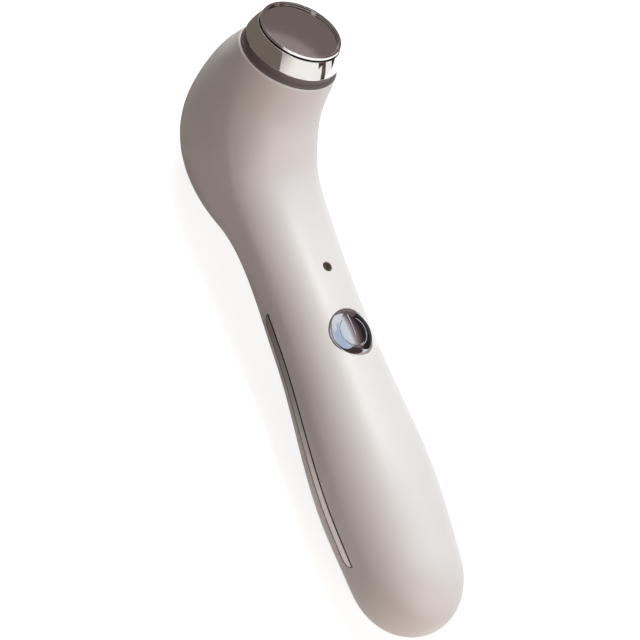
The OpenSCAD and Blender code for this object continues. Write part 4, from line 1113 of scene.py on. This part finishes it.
def card(name, middle_at, facing, size, stops, along="Y", corners=None):
    """A card with a ramp of colours: stops are (place from 0 to 1, colour), up it (Y) or along it (X)."""
    made_of = bpy.data.materials.new(name)
    made_of.use_nodes = True
    tree = made_of.node_tree
    tree.nodes.clear()
    w, h = size[0] / 2, size[1] / 2
    parted = node(tree, "SeparateXYZ")
    feed(tree, parted.inputs[0], node(tree, "TexCoord").outputs["Object"])
    half = w if along == "X" else h
    share_up = sums(tree, "MULTIPLY_ADD", parted.outputs[along], 0.5 / half, 0.5)
    ramp = node(tree, "ValToRGB")
    feed(tree, ramp.inputs[0], share_up)
    for k, (place_on, colour) in enumerate(stops):
        stop = ramp.color_ramp.elements[k] if k < 2 else ramp.color_ramp.elements.new(place_on)
        stop.position, stop.color = place_on, (*colour, 1)
    shade = node(tree, "Emission")
    feed(tree, shade.inputs["Color"], ramp.outputs["Color"])
    feed(tree, node(tree, "OutputMaterial").inputs["Surface"], shade.outputs[0])
    mesh = bpy.data.meshes.new(name)
    corners = corners or [(-w, -h), (w, -h), (w, h), (-w, h)]
    mesh.from_pydata([(x, y, 0) for x, y in corners], [], [tuple(range(len(corners)))])
    mesh.materials.append(made_of)
    made = bpy.data.objects.new(name, mesh)
    made.location = middle_at
    made.rotation_euler = Vector(facing).to_track_quat("Z", "Y").to_euler()
    bpy.context.scene.collection.objects.link(made)
    for kind in ("camera", "diffuse", "shadow", "transmission", "volume_scatter"):
        setattr(made, "visible_" + kind, False)
    cards.append(made)
    return made


def even(colour):
    """One colour all over a card."""
    return [(0, colour), (1, colour)]


def round_card(name, middle_at, facing, radius, colour):
    b = np.linspace(0, 2 * np.pi, 48, endpoint=False)
    edge_round = list(zip(radius * np.cos(b), radius * np.sin(b)))
    return card(name, middle_at, facing, (2 * radius, 2 * radius), even(colour), corners=edge_round)


def warm(v):
    """A pale tone that is a little warmer than grey."""
    return (v, 0.96 * v, 0.93 * v)


dusk, brown, dark = (0.18, 0.142, 0.133), (0.165, 0.14, 0.12), (0.03, 0.024, 0.022)

# %% [markdown]
# The mirror face shows a dusky card with a paler disc on it. The plate's raised rim and the
# ring's top look up past it, so a hood stands round the head's axis: a band of a large ball
# whose middle is the head.

# %% What the head shows
head_at = Vector((-0.0664, 0, 0.0546))
seen_by_face = Vector((-0.6938, 0.6368, 0.3363))
card("face_card", head_at + 0.5 * seen_by_face, -seen_by_face, (0.42, 0.34), even(dusk))
round_card("face_disc", head_at + 0.45 * seen_by_face + Vector((0.0022, -0.0138, 0.0288)), -seen_by_face,
           0.0288, (0.32, 0.275, 0.27))

head_axis, sideways = Vector((-0.3225, 0, 0.9466)), Vector((0.748, 0.6126, 0.2548))
onward = sideways.cross(head_axis)
hood_r, hood_in, hood_out = 0.55, math.radians(46), math.radians(67)
hood_turn = np.radians(np.arange(-150, 110, 5))


def hood_rim(off_axis):
    """A rim of the band, at one angle from the head's axis."""
    around = [math.cos(b) * onward + math.sin(b) * sideways for b in hood_turn]
    return [hood_r * (math.cos(off_axis) * head_axis + math.sin(off_axis) * out_to) for out_to in around]


hood = card("hood", head_at, (0, 0, 1), (1, 1), even((0.07, 0.05, 0.046)))
hood.rotation_euler = (0, 0, 0)
hood.data.clear_geometry()
many = len(hood_turn)
hood.data.from_pydata(hood_rim(hood_in) + hood_rim(hood_out), [],
                      [(k, k + 1, many + k + 1, many + k) for k in range(many - 1)])
print("hood:", many - 1, "faces")

# %% [markdown]
# The ring, the strips and the dome see the rest: walls on the camera's side, mats on the floor
# beside the wand, a wall and a post on the far side, and the pale sky with a warm spot.

# %% What the ring, the strips and the dome show
card("camera_side", (-0.30, -0.55, 0.42), (0.35, 0.8, -0.45), (0.9, 0.62), [(0, brown), (0.5, dark), (1, dark)])
card("left_wall", (-0.25, -0.35, 0.27), (0, 1, 0), (1.3, 0.56), [(0, brown), (0.4, brown), (0.8, dark)],
     corners=[(0.65, -0.271), (-0.623, -0.271), (0.183, 0.28), (0.65, 0.28)])
card("soft_wall", (0.35, -0.36, 0.25), (0, 1, 0), (0.7, 0.5), along="X",
     stops=[(0, warm(1)), (0.14, warm(1)), (0.43, warm(0.92)), (0.69, warm(0.72)), (0.86, warm(0.46)), (1, warm(0.42))])
card("left_mat", (-0.395, -0.155, 0.001), (0, 0, 1), (0.65, 0.43), even(brown))
card("beside_mat", (0.005, -0.186, 0.001), (0, 0, 1), (0.15, 0.368), along="X",
     stops=[(0, warm(1)), (0.307, warm(0.85)), (0.38, warm(0.6)), (0.447, warm(0.42)), (0.513, warm(0.28)),
            (0.62, brown), (1, brown)])
card("far_post", (0.2785, 0.3515, 0.12), (-1, -1, 0), (0.088, 0.24), [(0, dark), (0.5, (0.12, 0.1, 0.09)), (1, dark)])
card("far_wall", (-0.17, 0.5, 0.62), (0, -1, 0), (0.64, 1.24),
     [(0, dark), (0.16, (0.1, 0.09, 0.09)), (0.2, dark), (0.35, (0.03, 0.022, 0.026)), (0.42, (0.12, 0.08, 0.08)),
      (0.49, (0.32, 0.22, 0.22)), (0.56, (0.6, 0.52, 0.52)), (0.62, (0.92, 0.97, 1.0)), (0.8, (0.92, 0.97, 1.0))])
card("sky_card", (0, 0.2, 1.35), (0, 0, -1), (1.2, 1.2), even((0.6, 0.7, 0.86)))
card("warm_spot", (0.30, 0.42, 0.42), (-1, -1, -0.6), (0.16, 0.16), even((0.7, 0.35, 0.2)))
card("tail_wall", (0.44, 0.47, 0.42), (-0.7, -0.7, -0.5), (0.3, 0.3), even((0.05, 0.035, 0.035)))
round_card("key_card", (-0.40, 0.11, 1.0), (0.4, -0.11, -1), 0.17, (1, 0.95, 0.96))
print("cards:", len(cards))
